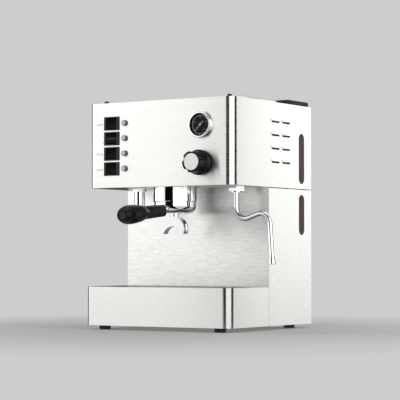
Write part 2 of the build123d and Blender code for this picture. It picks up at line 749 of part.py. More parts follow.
def back_panel():
    """Back wall between the side panels, with vent slots and the mains inlet's cut-out."""
    panel = block((-INNER, INNER), (BACK_Y - SHEET, BACK_Y), (BODY_Z, TOP_Z))
    places = GridLocations(BACK_SLOT_LENGTH, BACK_SLOT_PITCH, 1, BACK_SLOT_COUNT)
    slots = Sketch() + [place * SlotOverall(BACK_SLOT_LENGTH, BACK_SLOT_WIDTH) for place in places]
    for side in (-1, 1):
        middle = (side * (HALF - BACK_SLOT_FROM_SIDE), BACK_Y + CUT, TOP_Z - BACK_SLOT_DROP)
        plane = Plane(origin=middle, x_dir=(1, 0, 0), z_dir=(0, -1, 0))
        panel -= extrude(plane * slots, SHEET + 2 * CUT)
    panel -= block(
        (INLET_X - INLET_WIDTH / 2 - WINDOW_FIT, INLET_X + INLET_WIDTH / 2 + WINDOW_FIT),
        (BACK_Y - SHEET, BACK_Y),
        (INLET_Z - INLET_HEIGHT / 2 - WINDOW_FIT, INLET_Z + INLET_HEIGHT / 2 + WINDOW_FIT),
    )
    for x, z in case_screw_places():
        panel -= facing(x, z, (BACK_Y - SHEET, BACK_Y), CASE_SCREW_RADIUS + SEAT_GAP)
    return panel


def mains_inlet():
    """Appliance inlet: flanged shroud with three flat pins in a pocket."""
    x = (INLET_X - INLET_WIDTH / 2, INLET_X + INLET_WIDTH / 2)
    z = (INLET_Z - INLET_HEIGHT / 2, INLET_Z + INLET_HEIGHT / 2)
    inlet = block(x, (BACK_Y - INLET_DEPTH, BACK_Y), z)
    rim = BACK_Y + INLET_FLANGE_THICK
    flange_x = (x[0] - INLET_FLANGE, x[1] + INLET_FLANGE)
    flange = block(flange_x, (BACK_Y, rim), (z[0] - INLET_FLANGE, z[1] + INLET_FLANGE))
    inlet += fillet(flange.edges().filter_by(Axis.Y), INLET_FLANGE)
    pocket = (BACK_Y - INLET_DEPTH + INLET_FLOOR, rim)
    inlet -= block((x[0] + INLET_WALL, x[1] - INLET_WALL), pocket, (z[0] + INLET_WALL, z[1] - INLET_WALL))
    pin_y = (pocket[0], BACK_Y - INLET_PIN_SET)
    for px, pz in INLET_PINS:
        pin_x = (INLET_X + px - INLET_PIN_HALF_WIDTH, INLET_X + px + INLET_PIN_HALF_WIDTH)
        pin_z = (INLET_Z + pz - INLET_PIN_HALF_HEIGHT, INLET_Z + pz + INLET_PIN_HALF_HEIGHT)
        inlet += block(pin_x, pin_y, pin_z)
    return inlet


def tank_bulkhead():
    """Wall between the pump bay and the tank bay, with the tank's shelf folded from it."""
    half = INNER - SHEET
    wall_y = (BULKHEAD_Y, BULKHEAD_Y + SHEET)
    wall = block((-half, half), wall_y, (PAN_TOP_Z, PLATE_TOP_Z))
    wall -= facing(HOSE_X, HOSE_Z, wall_y, HOSE_RADIUS + PIPE_HOLE_FIT)
    shelf_z = (TANK_FLOOR_Z - SHEET, TANK_FLOOR_Z)
    shelf = block((-half, half), (BULKHEAD_Y, BACK_Y - 2 * SHEET), shelf_z)
    return wall + shelf - upright(0, TANK_MIDDLE_Y, shelf_z, TANK_NIPPLE_RADIUS + SLIDE_GAP)


def water_tank():
    """Open tub with rounded corners, hinge ears at the back and an outlet nipple below."""
    tub = block((-TANK_HALF, TANK_HALF), (TANK_FRONT_Y, TANK_BACK_Y), (TANK_FLOOR_Z, TOP_Z))
    tub = fillet(tub.edges().filter_by(Axis.Z), TANK_CORNER)
    inside = TANK_HALF - TANK_WALL
    hollow = block(
        (-inside, inside),
        (TANK_FRONT_Y + TANK_WALL, TANK_BACK_Y - TANK_WALL),
        (TANK_FLOOR_Z + TANK_WALL, TOP_Z + CUT),
    )
    tub -= fillet(hollow.edges().filter_by(Axis.Z), TANK_CORNER - TANK_WALL)
    for side in (-1, 1):
        x = hinge_span(side, LID_EAR_WIDTH)
        y = (LID_PIN_Y - LID_EAR_RADIUS, LID_PIN_Y + LID_EAR_RADIUS)
        ear = block(x, y, (TOP_Z - LID_EAR_ROOT, LID_PIN_Z)) + hinge_bar(x, LID_EAR_RADIUS)
        tub += ear - hinge_bar(x, LID_PIN_RADIUS + THREAD_FIT)
    nipple = (TANK_FLOOR_Z - TANK_NIPPLE_LENGTH, TANK_FLOOR_Z)
    tub += upright(0, TANK_MIDDLE_Y, nipple, TANK_NIPPLE_RADIUS)
    return tub - upright(0, TANK_MIDDLE_Y, (nipple[0], TANK_FLOOR_Z + TANK_WALL), TANK_NIPPLE_BORE)


def hinge_bar(x, radius):
    """A round bar on the lid's hinge axis between x[0] and x[1]."""
    return rod((x[0], LID_PIN_Y, LID_PIN_Z), (x[1], LID_PIN_Y, LID_PIN_Z), radius)


def hinge_span(side, length):
    """The stretch of hinge axis centred on one ear."""
    return (side * LID_HINGE_X - length / 2, side * LID_HINGE_X + length / 2)


def lid_pins():
    """One short hinge pin for each ear."""
    return [hinge_bar(hinge_span(side, LID_PIN_LENGTH), LID_PIN_RADIUS) for side in (-1, 1)]


def tank_lid():
    """Hollow lid with a round hinge barrel along its back edge, notched for the tank's ears."""
    half = HALF - LID_INSET
    front = BULKHEAD_Y + LID_FRONT_GAP
    lid = block((-half, half), (front, LID_PIN_Y), (LID_Z, LID_TOP_Z))
    lid = fillet(lid.edges().filter_by(Axis.Z).group_by(Axis.Y)[0], LID_CORNER)
    lid += hinge_bar((-half, half), LID_BARREL_RADIUS)
    lid = fillet(lid.faces().sort_by(Axis.Y)[0].edges().group_by(Axis.Z)[-1], LID_EDGE)
    hollow_back = LID_PIN_Y - LID_BARREL_RADIUS - LID_WALL
    lid -= block(
        (-half + LID_WALL, half - LID_WALL),
        (front + LID_WALL, hollow_back),
        (LID_Z, LID_TOP_Z - LID_WALL),
    )
    for side in (-1, 1):
        notch = hinge_span(side, LID_EAR_WIDTH + 2 * LID_EAR_GAP)
        notch_front = LID_PIN_Y - LID_EAR_RADIUS - LID_NOTCH_GAP
        lid -= block(notch, (notch_front, TANK_BACK_Y + CUT), (LID_Z - CUT, LID_TOP_Z + CUT))
        lid -= hinge_bar(hinge_span(side, LID_PIN_LENGTH + 2 * SEAT_GAP), LID_PIN_RADIUS + LID_PIN_FIT)
    return lid


def tray_fascia():
    """Drip drawer's front and sides in one folded sheet."""
    return wrap(BASE_FRONT_Y, SPLASH_Y - SLIDE_GAP, (BODY_Z, BASE_TOP_Z))


def tray_box(inset, z):
    """A block inside the fascia with its rounded front corners."""
    side = INNER - inset
    front = BASE_FRONT_Y + SHEET + inset
    shape = block((-side, side), (front, SPLASH_Y - SLIDE_GAP - inset), z)
    return fillet(shape.edges().filter_by(Axis.Z).group_by(Axis.Y)[0], CORNER_RADIUS - SHEET - inset)


def drip_tub():
    """Tub that catches the drips, hung inside the fascia."""
    top = GRID_TOP_Z - GRID_THICK
    tub = tray_box(0.0, (PAN_TOP_Z + SEAT_GAP, top))
    return tub - tray_box(TRAY_WALL, (PAN_TOP_Z + SEAT_GAP + TRAY_WALL, top))


def drip_grid():
    """Slotted plate that the cups stand on, a little proud of the fascia."""
    z = (GRID_TOP_Z - GRID_THICK, GRID_TOP_Z)
    plate = tray_box(GRID_FIT, z)
    across = 2 * (INNER - GRID_FIT - GRID_MARGIN_X)
    along = SPLASH_Y - SLIDE_GAP - BASE_FRONT_Y - SHEET - 2 * (GRID_FIT + GRID_MARGIN_Y)
    size, pitch = (GRID_SLOT_LENGTH, GRID_SLOT_WIDTH), (GRID_SLOT_PITCH_X, GRID_SLOT_PITCH_Y)
    slots = slot_field((across, along), size, pitch)
    middle = (BASE_FRONT_Y + SPLASH_Y) / 2
    return plate - Pos(0, middle, z[0]) * extrude(slots, GRID_THICK)


def switch_housing(z):
    """Snap-in switch body with a raised lip and a pocket for its rocker."""
    half_w, half_h = SWITCH_WIDTH / 2, SWITCH_HEIGHT / 2
    lip = block((-half_w, half_w), (FRONT_Y - SWITCH_LIP, FRONT_Y), (-half_h, half_h))
    lip = fillet(lip.edges().filter_by(Axis.Y), SWITCH_CORNER)
    lip = chamfer(lip.faces().sort_by(Axis.Y)[0].edges(), SWITCH_BEVEL)
    back = FRONT_Y + SWITCH_BODY_DEPTH
    inset = SWITCH_BODY_INSET
    body_w, body_h = half_w - inset, half_h - inset
    housing = lip + block((-body_w, body_w), (FRONT_Y, back), (-body_h, body_h))
    pocket_w = ROCKER_WIDTH / 2 + ROCKER_GAP
    pocket_h = ROCKER_RADIUS + ROCKER_GAP
    pivot = FRONT_Y + ROCKER_PIVOT_DEPTH
    pocket_y = (FRONT_Y - SWITCH_LIP, pivot + ROCKER_RADIUS + ROCKER_GAP)
    housing -= block((-pocket_w, pocket_w), pocket_y, (-pocket_h, pocket_h))
    reach = ROCKER_WIDTH / 2 + TRUNNION_LENGTH + ROCKER_GAP
    housing -= rod((-reach, pivot, 0), (reach, pivot, 0), TRUNNION_RADIUS + TRUNNION_FIT)
    return Pos(SWITCH_X, 0, z) * housing


def rocker(number, z):
    """Rocker with a round back, a dished front and two trunnions. Latching ones rest on one side."""
    pivot = FRONT_Y + ROCKER_PIVOT_DEPTH
    tip = radians(ROCKER_TIP_ANGLE)
    tip_y, tip_z = pivot - ROCKER_RADIUS * cos(tip), ROCKER_RADIUS * sin(tip)
    dish = tip_y + ROCKER_DISH
    outline = [
        ThreePointArc((0, tip_y, tip_z), (0, dish, 0), (0, tip_y, -tip_z)),
        ThreePointArc((0, tip_y, -tip_z), (0, pivot + ROCKER_RADIUS, 0), (0, tip_y, tip_z)),
    ]
    paddle = extrude(make_face(Wire(outline)), ROCKER_WIDTH / 2, dir=(1, 0, 0), both=True)
    reach = ROCKER_WIDTH / 2 + TRUNNION_LENGTH
    paddle += rod((-reach, pivot, 0), (reach, pivot, 0), TRUNNION_RADIUS)
    if number == CENTRE_OFF_SWITCH:
        ridge_x, ridge_z = RIDGE_WIDTH / 2, RIDGE_HEIGHT / 2
        paddle += block((-ridge_x, ridge_x), (dish - RIDGE_PROUD, pivot), (-ridge_z, ridge_z))
    else:
        paddle = paddle.rotate(Axis((0, pivot, 0), (1, 0, 0)), ROCKER_THROW)
    return Pos(SWITCH_X, 0, z) * paddle


def lamp_bezels():
    """Raised black rings with a threaded tail through the panel."""
    rings = []
    seat = (FRONT_Y - LAMP_LIP, FRONT_Y - LAMP_SEAT)
    for z in SWITCH_Z:
        ring = facing(LAMP_X, z, (FRONT_Y - LAMP_LIP, FRONT_Y), LAMP_RADIUS)
        ring = fillet(ring.edges().group_by(Axis.Y)[0], LAMP_EDGE)
        ring += facing(LAMP_X, z, (FRONT_Y, FRONT_Y + LAMP_BODY_DEPTH), LAMP_BODY_RADIUS)
        rings.append(ring - facing(LAMP_X, z, seat, LAMP_LENS_RADIUS))
    return rings


def lamp_lenses():
    """Shallow domed lenses seated in the rings."""
    radius = LAMP_LENS_RADIUS - THREAD_FIT
    rim = FRONT_Y - LAMP_LIP
    seat = FRONT_Y - LAMP_SEAT
    top = rim - LAMP_DOME
    sphere = (radius**2 + LAMP_DOME**2) / (2 * LAMP_DOME)
    lean = asin(radius / sphere) / 2
    shoulder = (sphere * sin(lean), top + sphere * (1 - cos(lean)))
    outline = [
        Line((0, top), (0, seat)),
        Line((0, seat), (radius, seat)),
        Line((radius, seat), (radius, rim)),
        ThreePointArc((radius, rim), shoulder, (0, top)),
    ]
    lens = revolve(make_face(Wire(outline)), Axis.Y)
    return [Pos(LAMP_X, 0, z) * lens for z in SWITCH_Z]


def gauge_case():
    """Bright bezel and the can behind the panel."""
    face_y = FRONT_Y - GAUGE_PROUD
    case = facing(GAUGE_X, GAUGE_Z, (face_y, FRONT_Y), GAUGE_RADIUS)
    case = fillet(case.edges().group_by(Axis.Y)[0], GAUGE_EDGE)
    can_back = FRONT_Y + GAUGE_CAN_DEPTH
    case += facing(GAUGE_X, GAUGE_Z, (FRONT_Y, can_back), GAUGE_CAN_RADIUS)
    case += facing(GAUGE_X, GAUGE_Z, (can_back, can_back + GAUGE_TAIL), GAUGE_TAIL_RADIUS)
    pocket = (face_y, face_y + GAUGE_DIAL_DEPTH + GAUGE_DIAL_THICK)
    case -= facing(GAUGE_X, GAUGE_Z, pocket, GAUGE_DIAL_RADIUS)
    pin_y = (face_y, FRONT_Y + NEEDLE_PIN_DEPTH + NEEDLE_PIN_ROOM)
    return case - facing(GAUGE_X, GAUGE_Z, pin_y, NEEDLE_PIN_RADIUS + NEEDLE_FIT)


def gauge_glass():
    y = FRONT_Y - GAUGE_PROUD + GAUGE_GLASS_SET
    return facing(GAUGE_X, GAUGE_Z, (y, y + GAUGE_GLASS), GAUGE_DIAL_RADIUS - THREAD_FIT)


def gauge_dial():
    y = FRONT_Y - GAUGE_PROUD + GAUGE_DIAL_DEPTH
    dial = facing(GAUGE_X, GAUGE_Z, (y, y + GAUGE_DIAL_THICK), GAUGE_DIAL_RADIUS - THREAD_FIT)
    return dial - facing(GAUGE_X, GAUGE_Z, (y, y + GAUGE_DIAL_THICK), NEEDLE_PIN_RADIUS + NEEDLE_FIT)


def gauge_needle():
    """Pointer at zero with its tail, hub and pin."""
    dial_y = FRONT_Y - GAUGE_PROUD + GAUGE_DIAL_DEPTH
    y = (dial_y - NEEDLE_LIFT - NEEDLE_THICK, dial_y - NEEDLE_LIFT)
    wide, fine = NEEDLE_WIDTH / 2, NEEDLE_POINT / 2
    outline = [(-NEEDLE_TAIL, wide), (-NEEDLE_TAIL, -wide), (NEEDLE_LENGTH, -fine), (NEEDLE_LENGTH, fine)]
    face = make_face(Polyline(*[(px, 0, pz) for px, pz in outline], close=True))
    needle = Pos(0, y[0], 0) * extrude(face, NEEDLE_THICK, dir=(0, 1, 0))
    needle = needle.rotate(Axis.Y, -NEEDLE_ANGLE)
    needle += rod((0, y[0] - NEEDLE_HUB_PROUD, 0), (0, y[1], 0), NEEDLE_HUB_RADIUS)
    needle += rod((0, y[1], 0), (0, FRONT_Y + NEEDLE_PIN_DEPTH, 0), NEEDLE_PIN_RADIUS)
    return Pos(GAUGE_X, 0, GAUGE_Z) * needle


def knob_body():
    """Fluted knob with a round skirt, bored for its spindle and recessed for its cap."""
    back = FRONT_Y - KNOB_STANDOFF
    skirt_front = back - KNOB_SKIRT_LENGTH
    nose = back - KNOB_LENGTH
    skirt = loft([
        Plane(origin=(0, back, 0), z_dir=(0, -1, 0)) * Circle(KNOB_SKIRT_RADIUS),
        Plane(origin=(0, skirt_front, 0), z_dir=(0, -1, 0)) * Circle(KNOB_GRIP_RADIUS + KNOB_SHOULDER),
    ])
    grip = loft([
        Plane(origin=(0, skirt_front, 0), z_dir=(0, -1, 0)) * Circle(KNOB_GRIP_RADIUS),
        Plane(origin=(0, nose, 0), z_dir=(0, -1, 0)) * Circle(KNOB_NOSE_RADIUS),
    ])
    centre = KNOB_GRIP_RADIUS + KNOB_FLUTE_RADIUS - KNOB_FLUTE_DEPTH
    for i in range(KNOB_FLUTES):
        turn = radians(360 / KNOB_FLUTES * i)
        x, z = centre * cos(turn), centre * sin(turn)
        grip -= rod((x, nose - CUT, z), (x, skirt_front, z), KNOB_FLUTE_RADIUS)
    knob = skirt + grip
    knob -= rod((0, nose, 0), (0, nose + KNOB_CAP_THICK, 0), KNOB_CAP_RADIUS + THREAD_FIT)
    knob -= rod((0, back, 0), (0, back - SPINDLE_IN_KNOB, 0), SPINDLE_RADIUS + THREAD_FIT)
    return Pos(KNOB_X, 0, KNOB_Z) * knob


def knob_cap():
    """Bright disc let into the knob's nose, with a bevelled edge."""
    nose = FRONT_Y - KNOB_STANDOFF - KNOB_LENGTH
    cap = facing(KNOB_X, KNOB_Z, (nose - KNOB_CAP_PROUD, nose + KNOB_CAP_THICK), KNOB_CAP_RADIUS)
    return chamfer(cap.edges().group_by(Axis.Y)[0], KNOB_CAP_BEVEL)


def valve_spindle():
    y = (FRONT_Y - KNOB_STANDOFF - SPINDLE_IN_KNOB, FRONT_Y + VALVE_DEPTH - SPINDLE_SHORT)
    return facing(KNOB_X, KNOB_Z, y, SPINDLE_RADIUS)


def valve_body():
    """Brass steam valve clamped behind the front panel."""
    y = (FRONT_Y + SHEET, FRONT_Y + VALVE_DEPTH)
    plane = Plane(origin=(KNOB_X, y[0], KNOB_Z), z_dir=(0, 1, 0))
    body = extrude(plane * RegularPolygon(VALVE_RADIUS, 6), VALVE_NUT)
    body += facing(KNOB_X, KNOB_Z, y, VALVE_STEM_RADIUS)
    port_y = y[1] - VALVE_PORT_INSET
    centre = (KNOB_X, port_y, KNOB_Z)
    body += rod(centre, (KNOB_X, port_y, KNOB_Z - VALVE_PORT_LENGTH), VALVE_PORT_RADIUS)
    body += rod(centre, (KNOB_X - VALVE_PORT_LENGTH, port_y, KNOB_Z), VALVE_PORT_RADIUS)
    spindle_y = (y[0], y[1] - SPINDLE_SHORT + SPINDLE_ROOM)
    return body - facing(KNOB_X, KNOB_Z, spindle_y, SPINDLE_RADIUS + SPINDLE_FIT)


def sector(span, middle, z):
    """A wedge from the group's axis past the bell's wall, for cutting rings into ears and gaps."""
    half_width = BELL_RADIUS * tan(radians(span / 2))
    face = make_face(Polyline((0, 0), (BELL_RADIUS, -half_width), (BELL_RADIUS, half_width), close=True))
    return Pos(0, 0, z[0]) * extrude(face.rotate(Axis.Z, middle), z[1] - z[0])


def at_group(shape):
    return Pos(0, GROUP_Y, 0) * shape


def group_bell():
    """Polished skirt under the head, closed above by a crown ring."""
    bore = BLOCK_RADIUS + SEAT_GAP
    profile = [
        (BELL_INNER_RADIUS, BELL_Z), (BELL_RADIUS - BELL_BEVEL, BELL_Z), (BELL_RADIUS, BELL_Z + BELL_BEVEL),
        (BELL_RADIUS, HEAD_Z), (bore, HEAD_Z), (bore, CROWN_Z), (BELL_INNER_RADIUS, CROWN_Z),
    ]
    return at_group(turned(profile))


def bayonet_ring():
    """Ring inside the bell with two gaps that let the portafilter's ears through."""
    z = (RAMP_Z, RAMP_TOP_Z)
    ring = upright(0, 0, z, BELL_INNER_RADIUS - THREAD_FIT) - upright(0, 0, z, COLLAR_RADIUS + GROUP_GAP)
    for start in (0, 180):
        ring -= sector(RAMP_GAP_SPAN, start + HANDLE_ANGLE - LOCK_TURN, z)
    return [at_group(piece) for piece in ring.solids()]


def group_gasket():
    """Rubber ring under the crown that the basket's rim presses on."""
    z = (GASKET_Z, CROWN_Z)
    ring = upright(0, 0, z, BELL_INNER_RADIUS - THREAD_FIT) - upright(0, 0, z, BLOCK_RADIUS + SEAT_GAP)
    return at_group(ring)


def group_block():
    """Brass block that carries water from the boiler to the screen."""
    z = (SCREEN_Z + SCREEN_THICK, FLOOR_TOP_Z)
    return at_group(upright(0, 0, z, BLOCK_RADIUS) - upright(0, 0, z, BLOCK_BORE))


def shower_screen():
    """Perforated disc under the block, with its screw."""
    disc = upright(0, 0, (SCREEN_Z, SCREEN_Z + SCREEN_THICK), SCREEN_RADIUS)
    for radius, count in SCREEN_RINGS:
        holes = Sketch() + [place * Circle(SCREEN_HOLE_RADIUS) for place in PolarLocations(radius, count)]
        disc -= Pos(0, 0, SCREEN_Z) * extrude(holes, SCREEN_THICK)
    disc += upright(0, 0, (SCREEN_Z - SCREEN_SCREW_HEAD, SCREEN_Z), SCREEN_SCREW_RADIUS)
    return at_group(disc)


def portafilter_bowl():
    """Bowl with its collar, two locking ears and the arm that carries the handle."""
    bowl = upright(0, 0, (BOWL_Z, BOWL_TOP_Z), BOWL_RADIUS)
    bowl = fillet(bowl.edges().group_by(Axis.Z)[0], BOWL_FILLET)
    bowl += upright(0, 0, (BOWL_TOP_Z, COLLAR_Z), COLLAR_RADIUS)
    ear_z = (EAR_Z, EAR_TOP_Z)
    ear_ring = upright(0, 0, ear_z, BELL_INNER_RADIUS - GROUP_GAP)
    for middle in (0, 180):
        bowl += ear_ring & sector(EAR_SPAN, middle + HANDLE_ANGLE, ear_z)
    bowl = at_group(bowl)
    root = HANDLE_STANDOFF + ARM_ROOT
    arm = extrude(handle_frame().offset(-root) * Circle(ARM_RADIUS), root + arm_end())
    bowl += arm
    cavity = BASKET_RADIUS + BASKET_WALL + BASKET_FIT
    bowl -= at_group(upright(0, 0, (BASKET_FLOOR_Z - BASKET_ROOM, COLLAR_Z + CUT), cavity))
    return bowl - at_group(upright(0, 0, (BOWL_Z, BASKET_FLOOR_Z), SPOUT_BORE_RADIUS))


def filter_basket():
    """Thin pressed cup with a rolled rim that hangs in the bowl."""
    outer = BASKET_RADIUS + BASKET_WALL
    floor = BASKET_FLOOR_Z
    inside = floor + BASKET_WALL
    profile = [
        (0, floor), (outer - BASKET_HEEL, floor), (outer, floor + BASKET_HEEL), (outer, COLLAR_Z),
        (COLLAR_RADIUS, COLLAR_Z), (COLLAR_RADIUS, RIM_Z), (BASKET_RADIUS, RIM_Z),
        (BASKET_RADIUS, inside + BASKET_HEEL), (BASKET_RADIUS - BASKET_HEEL, inside), (0, inside),
    ]
    return at_group(turned(profile))


def handle_frame():
    """Plane at the handle's root, looking along the drooping handle."""
    droop = radians(HANDLE_DROOP)
    turn = radians(HANDLE_ANGLE)
    along = Vector(sin(turn) * cos(droop), -cos(turn) * cos(droop), -sin(droop))
    root = Vector(sin(turn) * HANDLE_START, GROUP_Y - cos(turn) * HANDLE_START, BOWL_Z + HANDLE_LIFT)
    side = Vector(cos(turn), sin(turn), 0)
    return Plane(origin=root, x_dir=side, z_dir=along)


def arm_end():
    """How far the arm runs past the handle's root, into the grip's socket."""
    return FERRULE_LENGTH + NECK_SOCKET - SEAT_GAP


def palm_station(lean):
    """Distance along the handle and share of the full girth, at a lean in degrees from the palm's crest."""
    slope = sin(radians(lean))
    if slope < 0:
        return BULB_CREST + (BULB_CREST - BULB_ROOT) * slope, sqrt(1 - slope**2)
    share = (1 - slope**BULB_BLUNTNESS) ** (1 / BULB_BLUNTNESS)
    return BULB_CREST + (BULB_END - BULB_CREST) * slope, share


def plug_plane():
    """Plane of the plug's seat, below the flat at the handle's end."""
    return handle_frame().offset(palm_station(BULB_LAST)[0] - PLUG_DEPTH)


def handle_ferrule():
    """Bright collar between the arm and the grip."""
    plane = handle_frame()
    ring = extrude(plane * Circle(FERRULE_RADIUS), FERRULE_LENGTH)
    return ring - extrude(plane.offset(-CUT) * Circle(ARM_RADIUS + ARM_FIT), FERRULE_LENGTH + 2 * CUT)


def handle_grip():
    """Moulded grip: a squared neck that runs into an egg-shaped palm end, lofted through ovals."""
    plane = handle_frame()
    step = (BULB_LAST - BULB_FIRST) / (BULB_STATIONS - 1)
    ovals = []
    for i in range(BULB_STATIONS):
        distance, share = palm_station(BULB_FIRST + i * step)
        ovals.append(plane.offset(distance) * Ellipse(BULB_WIDTH / 2 * share, BULB_HEIGHT / 2 * share))
    neck = loft([
        plane.offset(distance) * RectangleRounded(NECK_WIDTH + swell, NECK_HEIGHT + swell, NECK_CORNER)
        for distance, swell in ((FERRULE_LENGTH, 0), (NECK_LENGTH, NECK_SWELL))
    ])
    mouth = neck.faces().sort_by_distance(plane.origin)[0]
    grip = chamfer(mouth.edges(), NECK_EDGE) + loft(ovals)
    grip -= extrude(plane.offset(FERRULE_LENGTH - CUT) * Circle(ARM_RADIUS + ARM_FIT), NECK_SOCKET + CUT)
    return grip - extrude(plug_plane() * Circle(PLUG_RADIUS + PLUG_FIT), PLUG_DEPTH + CUT)


def handle_plug():
    """Round end plug over the handle's bolt."""
    return extrude(plug_plane() * Circle(PLUG_RADIUS), PLUG_DEPTH + PLUG_PROUD)


def twin_spout():
    """Crescent casting, thick under the bowl and thin at its two tips, with an open channel over its back."""
    crown = BOWL_Z - SPOUT_BOSS_LENGTH
    tips = crown - SPOUT_HEIGHT
    centre = crown - SPOUT_OUTER_RADIUS
    drain = SPOUT_OUTER_RADIUS - CHANNEL_DEPTH

    def disc(z, radius, width):
        return rod((0, -width / 2, z), (0, width / 2, z), radius)

    spout = disc(centre, SPOUT_OUTER_RADIUS, SPOUT_WIDTH) - disc(tips, SPOUT_INNER_RADIUS, SPOUT_WIDTH)
    spout -= disc(centre, SPOUT_OUTER_RADIUS, CHANNEL_WIDTH) - disc(centre, drain, CHANNEL_WIDTH)
    reach = (-SPOUT_OUTER_RADIUS, SPOUT_OUTER_RADIUS)
    spout -= block(reach, reach, (centre - SPOUT_OUTER_RADIUS, tips))
    boss = upright(0, 0, (crown - CHANNEL_DEPTH, BOWL_Z), SPOUT_BOSS_RADIUS)
    boss -= upright(0, 0, (crown - CHANNEL_DEPTH, BOWL_Z), SPOUT_BORE_RADIUS)
    half = CHANNEL_WIDTH / 2
    boss -= block(reach, (-half, half), (crown - CHANNEL_DEPTH, crown))
    return at_group((spout + boss).rotate(Axis.Z, HANDLE_ANGLE))


def wand_socket():
    """Hexagonal socket under the head that the wand's ball turns in."""
    z = (HEAD_Z - SOCKET_HEIGHT, HEAD_Z)
    nut = hexagon(WAND_X, WAND_Y, z, SOCKET_ACROSS_FLATS)
    rim = upright(WAND_X, WAND_Y, (z[0] - SOCKET_RIM, z[0]), SOCKET_ACROSS_FLATS / 2 - SOCKET_RIM)
    seat = upright(WAND_X, WAND_Y, (z[0], HEAD_Z), BALL_RADIUS + SEAT_GAP)
    throat = upright(WAND_X, WAND_Y, (z[0] - SOCKET_RIM, z[0]), WAND_RADIUS + SEAT_GAP)
    return nut + rim - seat - throat


def in_wand_plane(reach, drop):
    """A point out from the swivel axis and down from the head."""
    return Vector(WAND_X + reach, WAND_Y, HEAD_Z - drop)


def wand_run():
    """Direction of the wand's last straight run."""
    return Vector(WAND_TIP_REACH - WAND_HIGH_REACH, 0, WAND_HIGH_DROP - WAND_TIP_DROP).normalized()


def wand_end():
    """Where the tube ends and the tip begins."""
    return in_wand_plane(WAND_TIP_REACH, WAND_TIP_DROP) - wand_run() * TIP_LENGTH


def steam_wand():
    """Bent steam tube with a collar that rides in the socket."""
    points = [
        in_wand_plane(0, WAND_TOP_GAP),
        in_wand_plane(0, WAND_LOW_DROP),
        in_wand_plane(WAND_HIGH_REACH, WAND_HIGH_DROP),
        wand_end(),
    ]
    tube = bent_bar(points, [WAND_BEND_RADIUS_LOW, WAND_BEND_RADIUS_HIGH], WAND_RADIUS, WAND_BORE)
    z = (HEAD_Z - SOCKET_HEIGHT + SEAT_GAP, HEAD_Z - WAND_COLLAR_GAP)
    collar = chamfer(upright(WAND_X, WAND_Y, z, BALL_RADIUS).edges(), WAND_COLLAR_EDGE)
    return tube + collar - upright(WAND_X, WAND_Y, (z[0], HEAD_Z), WAND_BORE)


def wand_tip():
    """Flared nozzle screwed over the end of the wand, with steam holes in its end."""
    points = [
        (0, 0), (WAND_RADIUS, 0), (WAND_RADIUS, TIP_COLLAR), (TIP_RADIUS, TIP_FLARE),
        (TIP_RADIUS, TIP_LENGTH - TIP_NOSE), (TIP_RADIUS - TIP_NOSE, TIP_LENGTH), (0, TIP_LENGTH),
    ]
    tip = turned(points)
    for place in PolarLocations(TIP_HOLE_CIRCLE, TIP_HOLES):
        tip -= place * Pos(0, 0, TIP_FLARE) * extrude(Circle(TIP_HOLE_RADIUS), TIP_LENGTH)
    return Plane(origin=wand_end(), z_dir=wand_run()).location * tip


def hot_water_outlet():
    """Straight polished outlet under its nut, bored through."""
    z = (HEAD_Z - OUTLET_LENGTH, HEAD_Z)
    nut_z = HEAD_Z - OUTLET_NUT_HEIGHT
    tube = upright(OUTLET_X, OUTLET_Y, (z[0], nut_z), OUTLET_RADIUS)
    tube = fillet(tube.edges().group_by(Axis.Z)[0], OUTLET_EDGE)
    tube += hexagon(OUTLET_X, OUTLET_Y, (nut_z, HEAD_Z), OUTLET_NUT_FLATS)
    return tube - upright(OUTLET_X, OUTLET_Y, z, OUTLET_BORE)


def boiler():
    """Brass boiler: flanged base, straight drum and domed cap."""
    z = FLOOR_TOP_Z
    profile = [
        (0, z), (BOILER_FLANGE_RADIUS, z), (BOILER_FLANGE_RADIUS, z + BOILER_FLANGE),
        (BOILER_RADIUS, z + BOILER_FLANGE), (BOILER_RADIUS, z + BOILER_HEIGHT - BOILER_SHOULDER),
        (BOILER_CAP_RADIUS, z + BOILER_HEIGHT), (0, z + BOILER_HEIGHT),
    ]
    return at_group(turned(profile))


def heating_element():
    """The element's two terminal posts on the boiler's cap."""
    z = FLOOR_TOP_Z + BOILER_HEIGHT
    return [at_group(upright(x, 0, (z, z + POST_HEIGHT), POST_RADIUS)) for x in (-POST_X, POST_X)]


def thermostat():
    """Stepped thermostat button on the boiler's cap."""
    z = FLOOR_TOP_Z + BOILER_HEIGHT
    step = z + THERMOSTAT_HEIGHT / 2
    y = BOILER_CAP_RADIUS - THERMOSTAT_RADIUS
    base = upright(0, y, (z, step), THERMOSTAT_RADIUS)
    return at_group(base + upright(0, y, (step, z + THERMOSTAT_HEIGHT), THERMOSTAT_RADIUS - THERMOSTAT_STEP))


def pump():
    """Vibration pump: square coil frame on a round barrel, with a stub at each end."""
    half = PUMP_LENGTH / 2
    coil_half = PUMP_COIL / 2
    barrel = rod((-half, 0, 0), (half, 0, 0), PUMP_RADIUS)
    coil = block((-half / 2, half / 2), (-coil_half, coil_half), (-coil_half, coil_half))
    coil = fillet(coil.edges().filter_by(Axis.X), PUMP_COIL_EDGE)
    stubs = rod((-half - PUMP_STUB, 0, 0), (half + PUMP_STUB, 0, 0), PUMP_STUB_RADIUS)
    return Pos(PUMP_X, PUMP_Y, PUMP_Z) * (barrel + coil + stubs)


def pump_bracket():
    """Bent strap that carries the pump above the pan."""
    top = PUMP_Z - PUMP_COIL / 2 - PUMP_MOUNT_HEIGHT
    x = (PUMP_X - BRACKET_HALF, PUMP_X + BRACKET_HALF)
    y = (PUMP_Y - BRACKET_HALF_WIDTH, PUMP_Y + BRACKET_HALF_WIDTH)
    strap = block(x, y, (top - BRACKET_THICK, top))
    for leg in (x[0], x[1] - BRACKET_THICK):
        strap += block((leg, leg + BRACKET_THICK), y, (PAN_TOP_Z, top))
    return strap


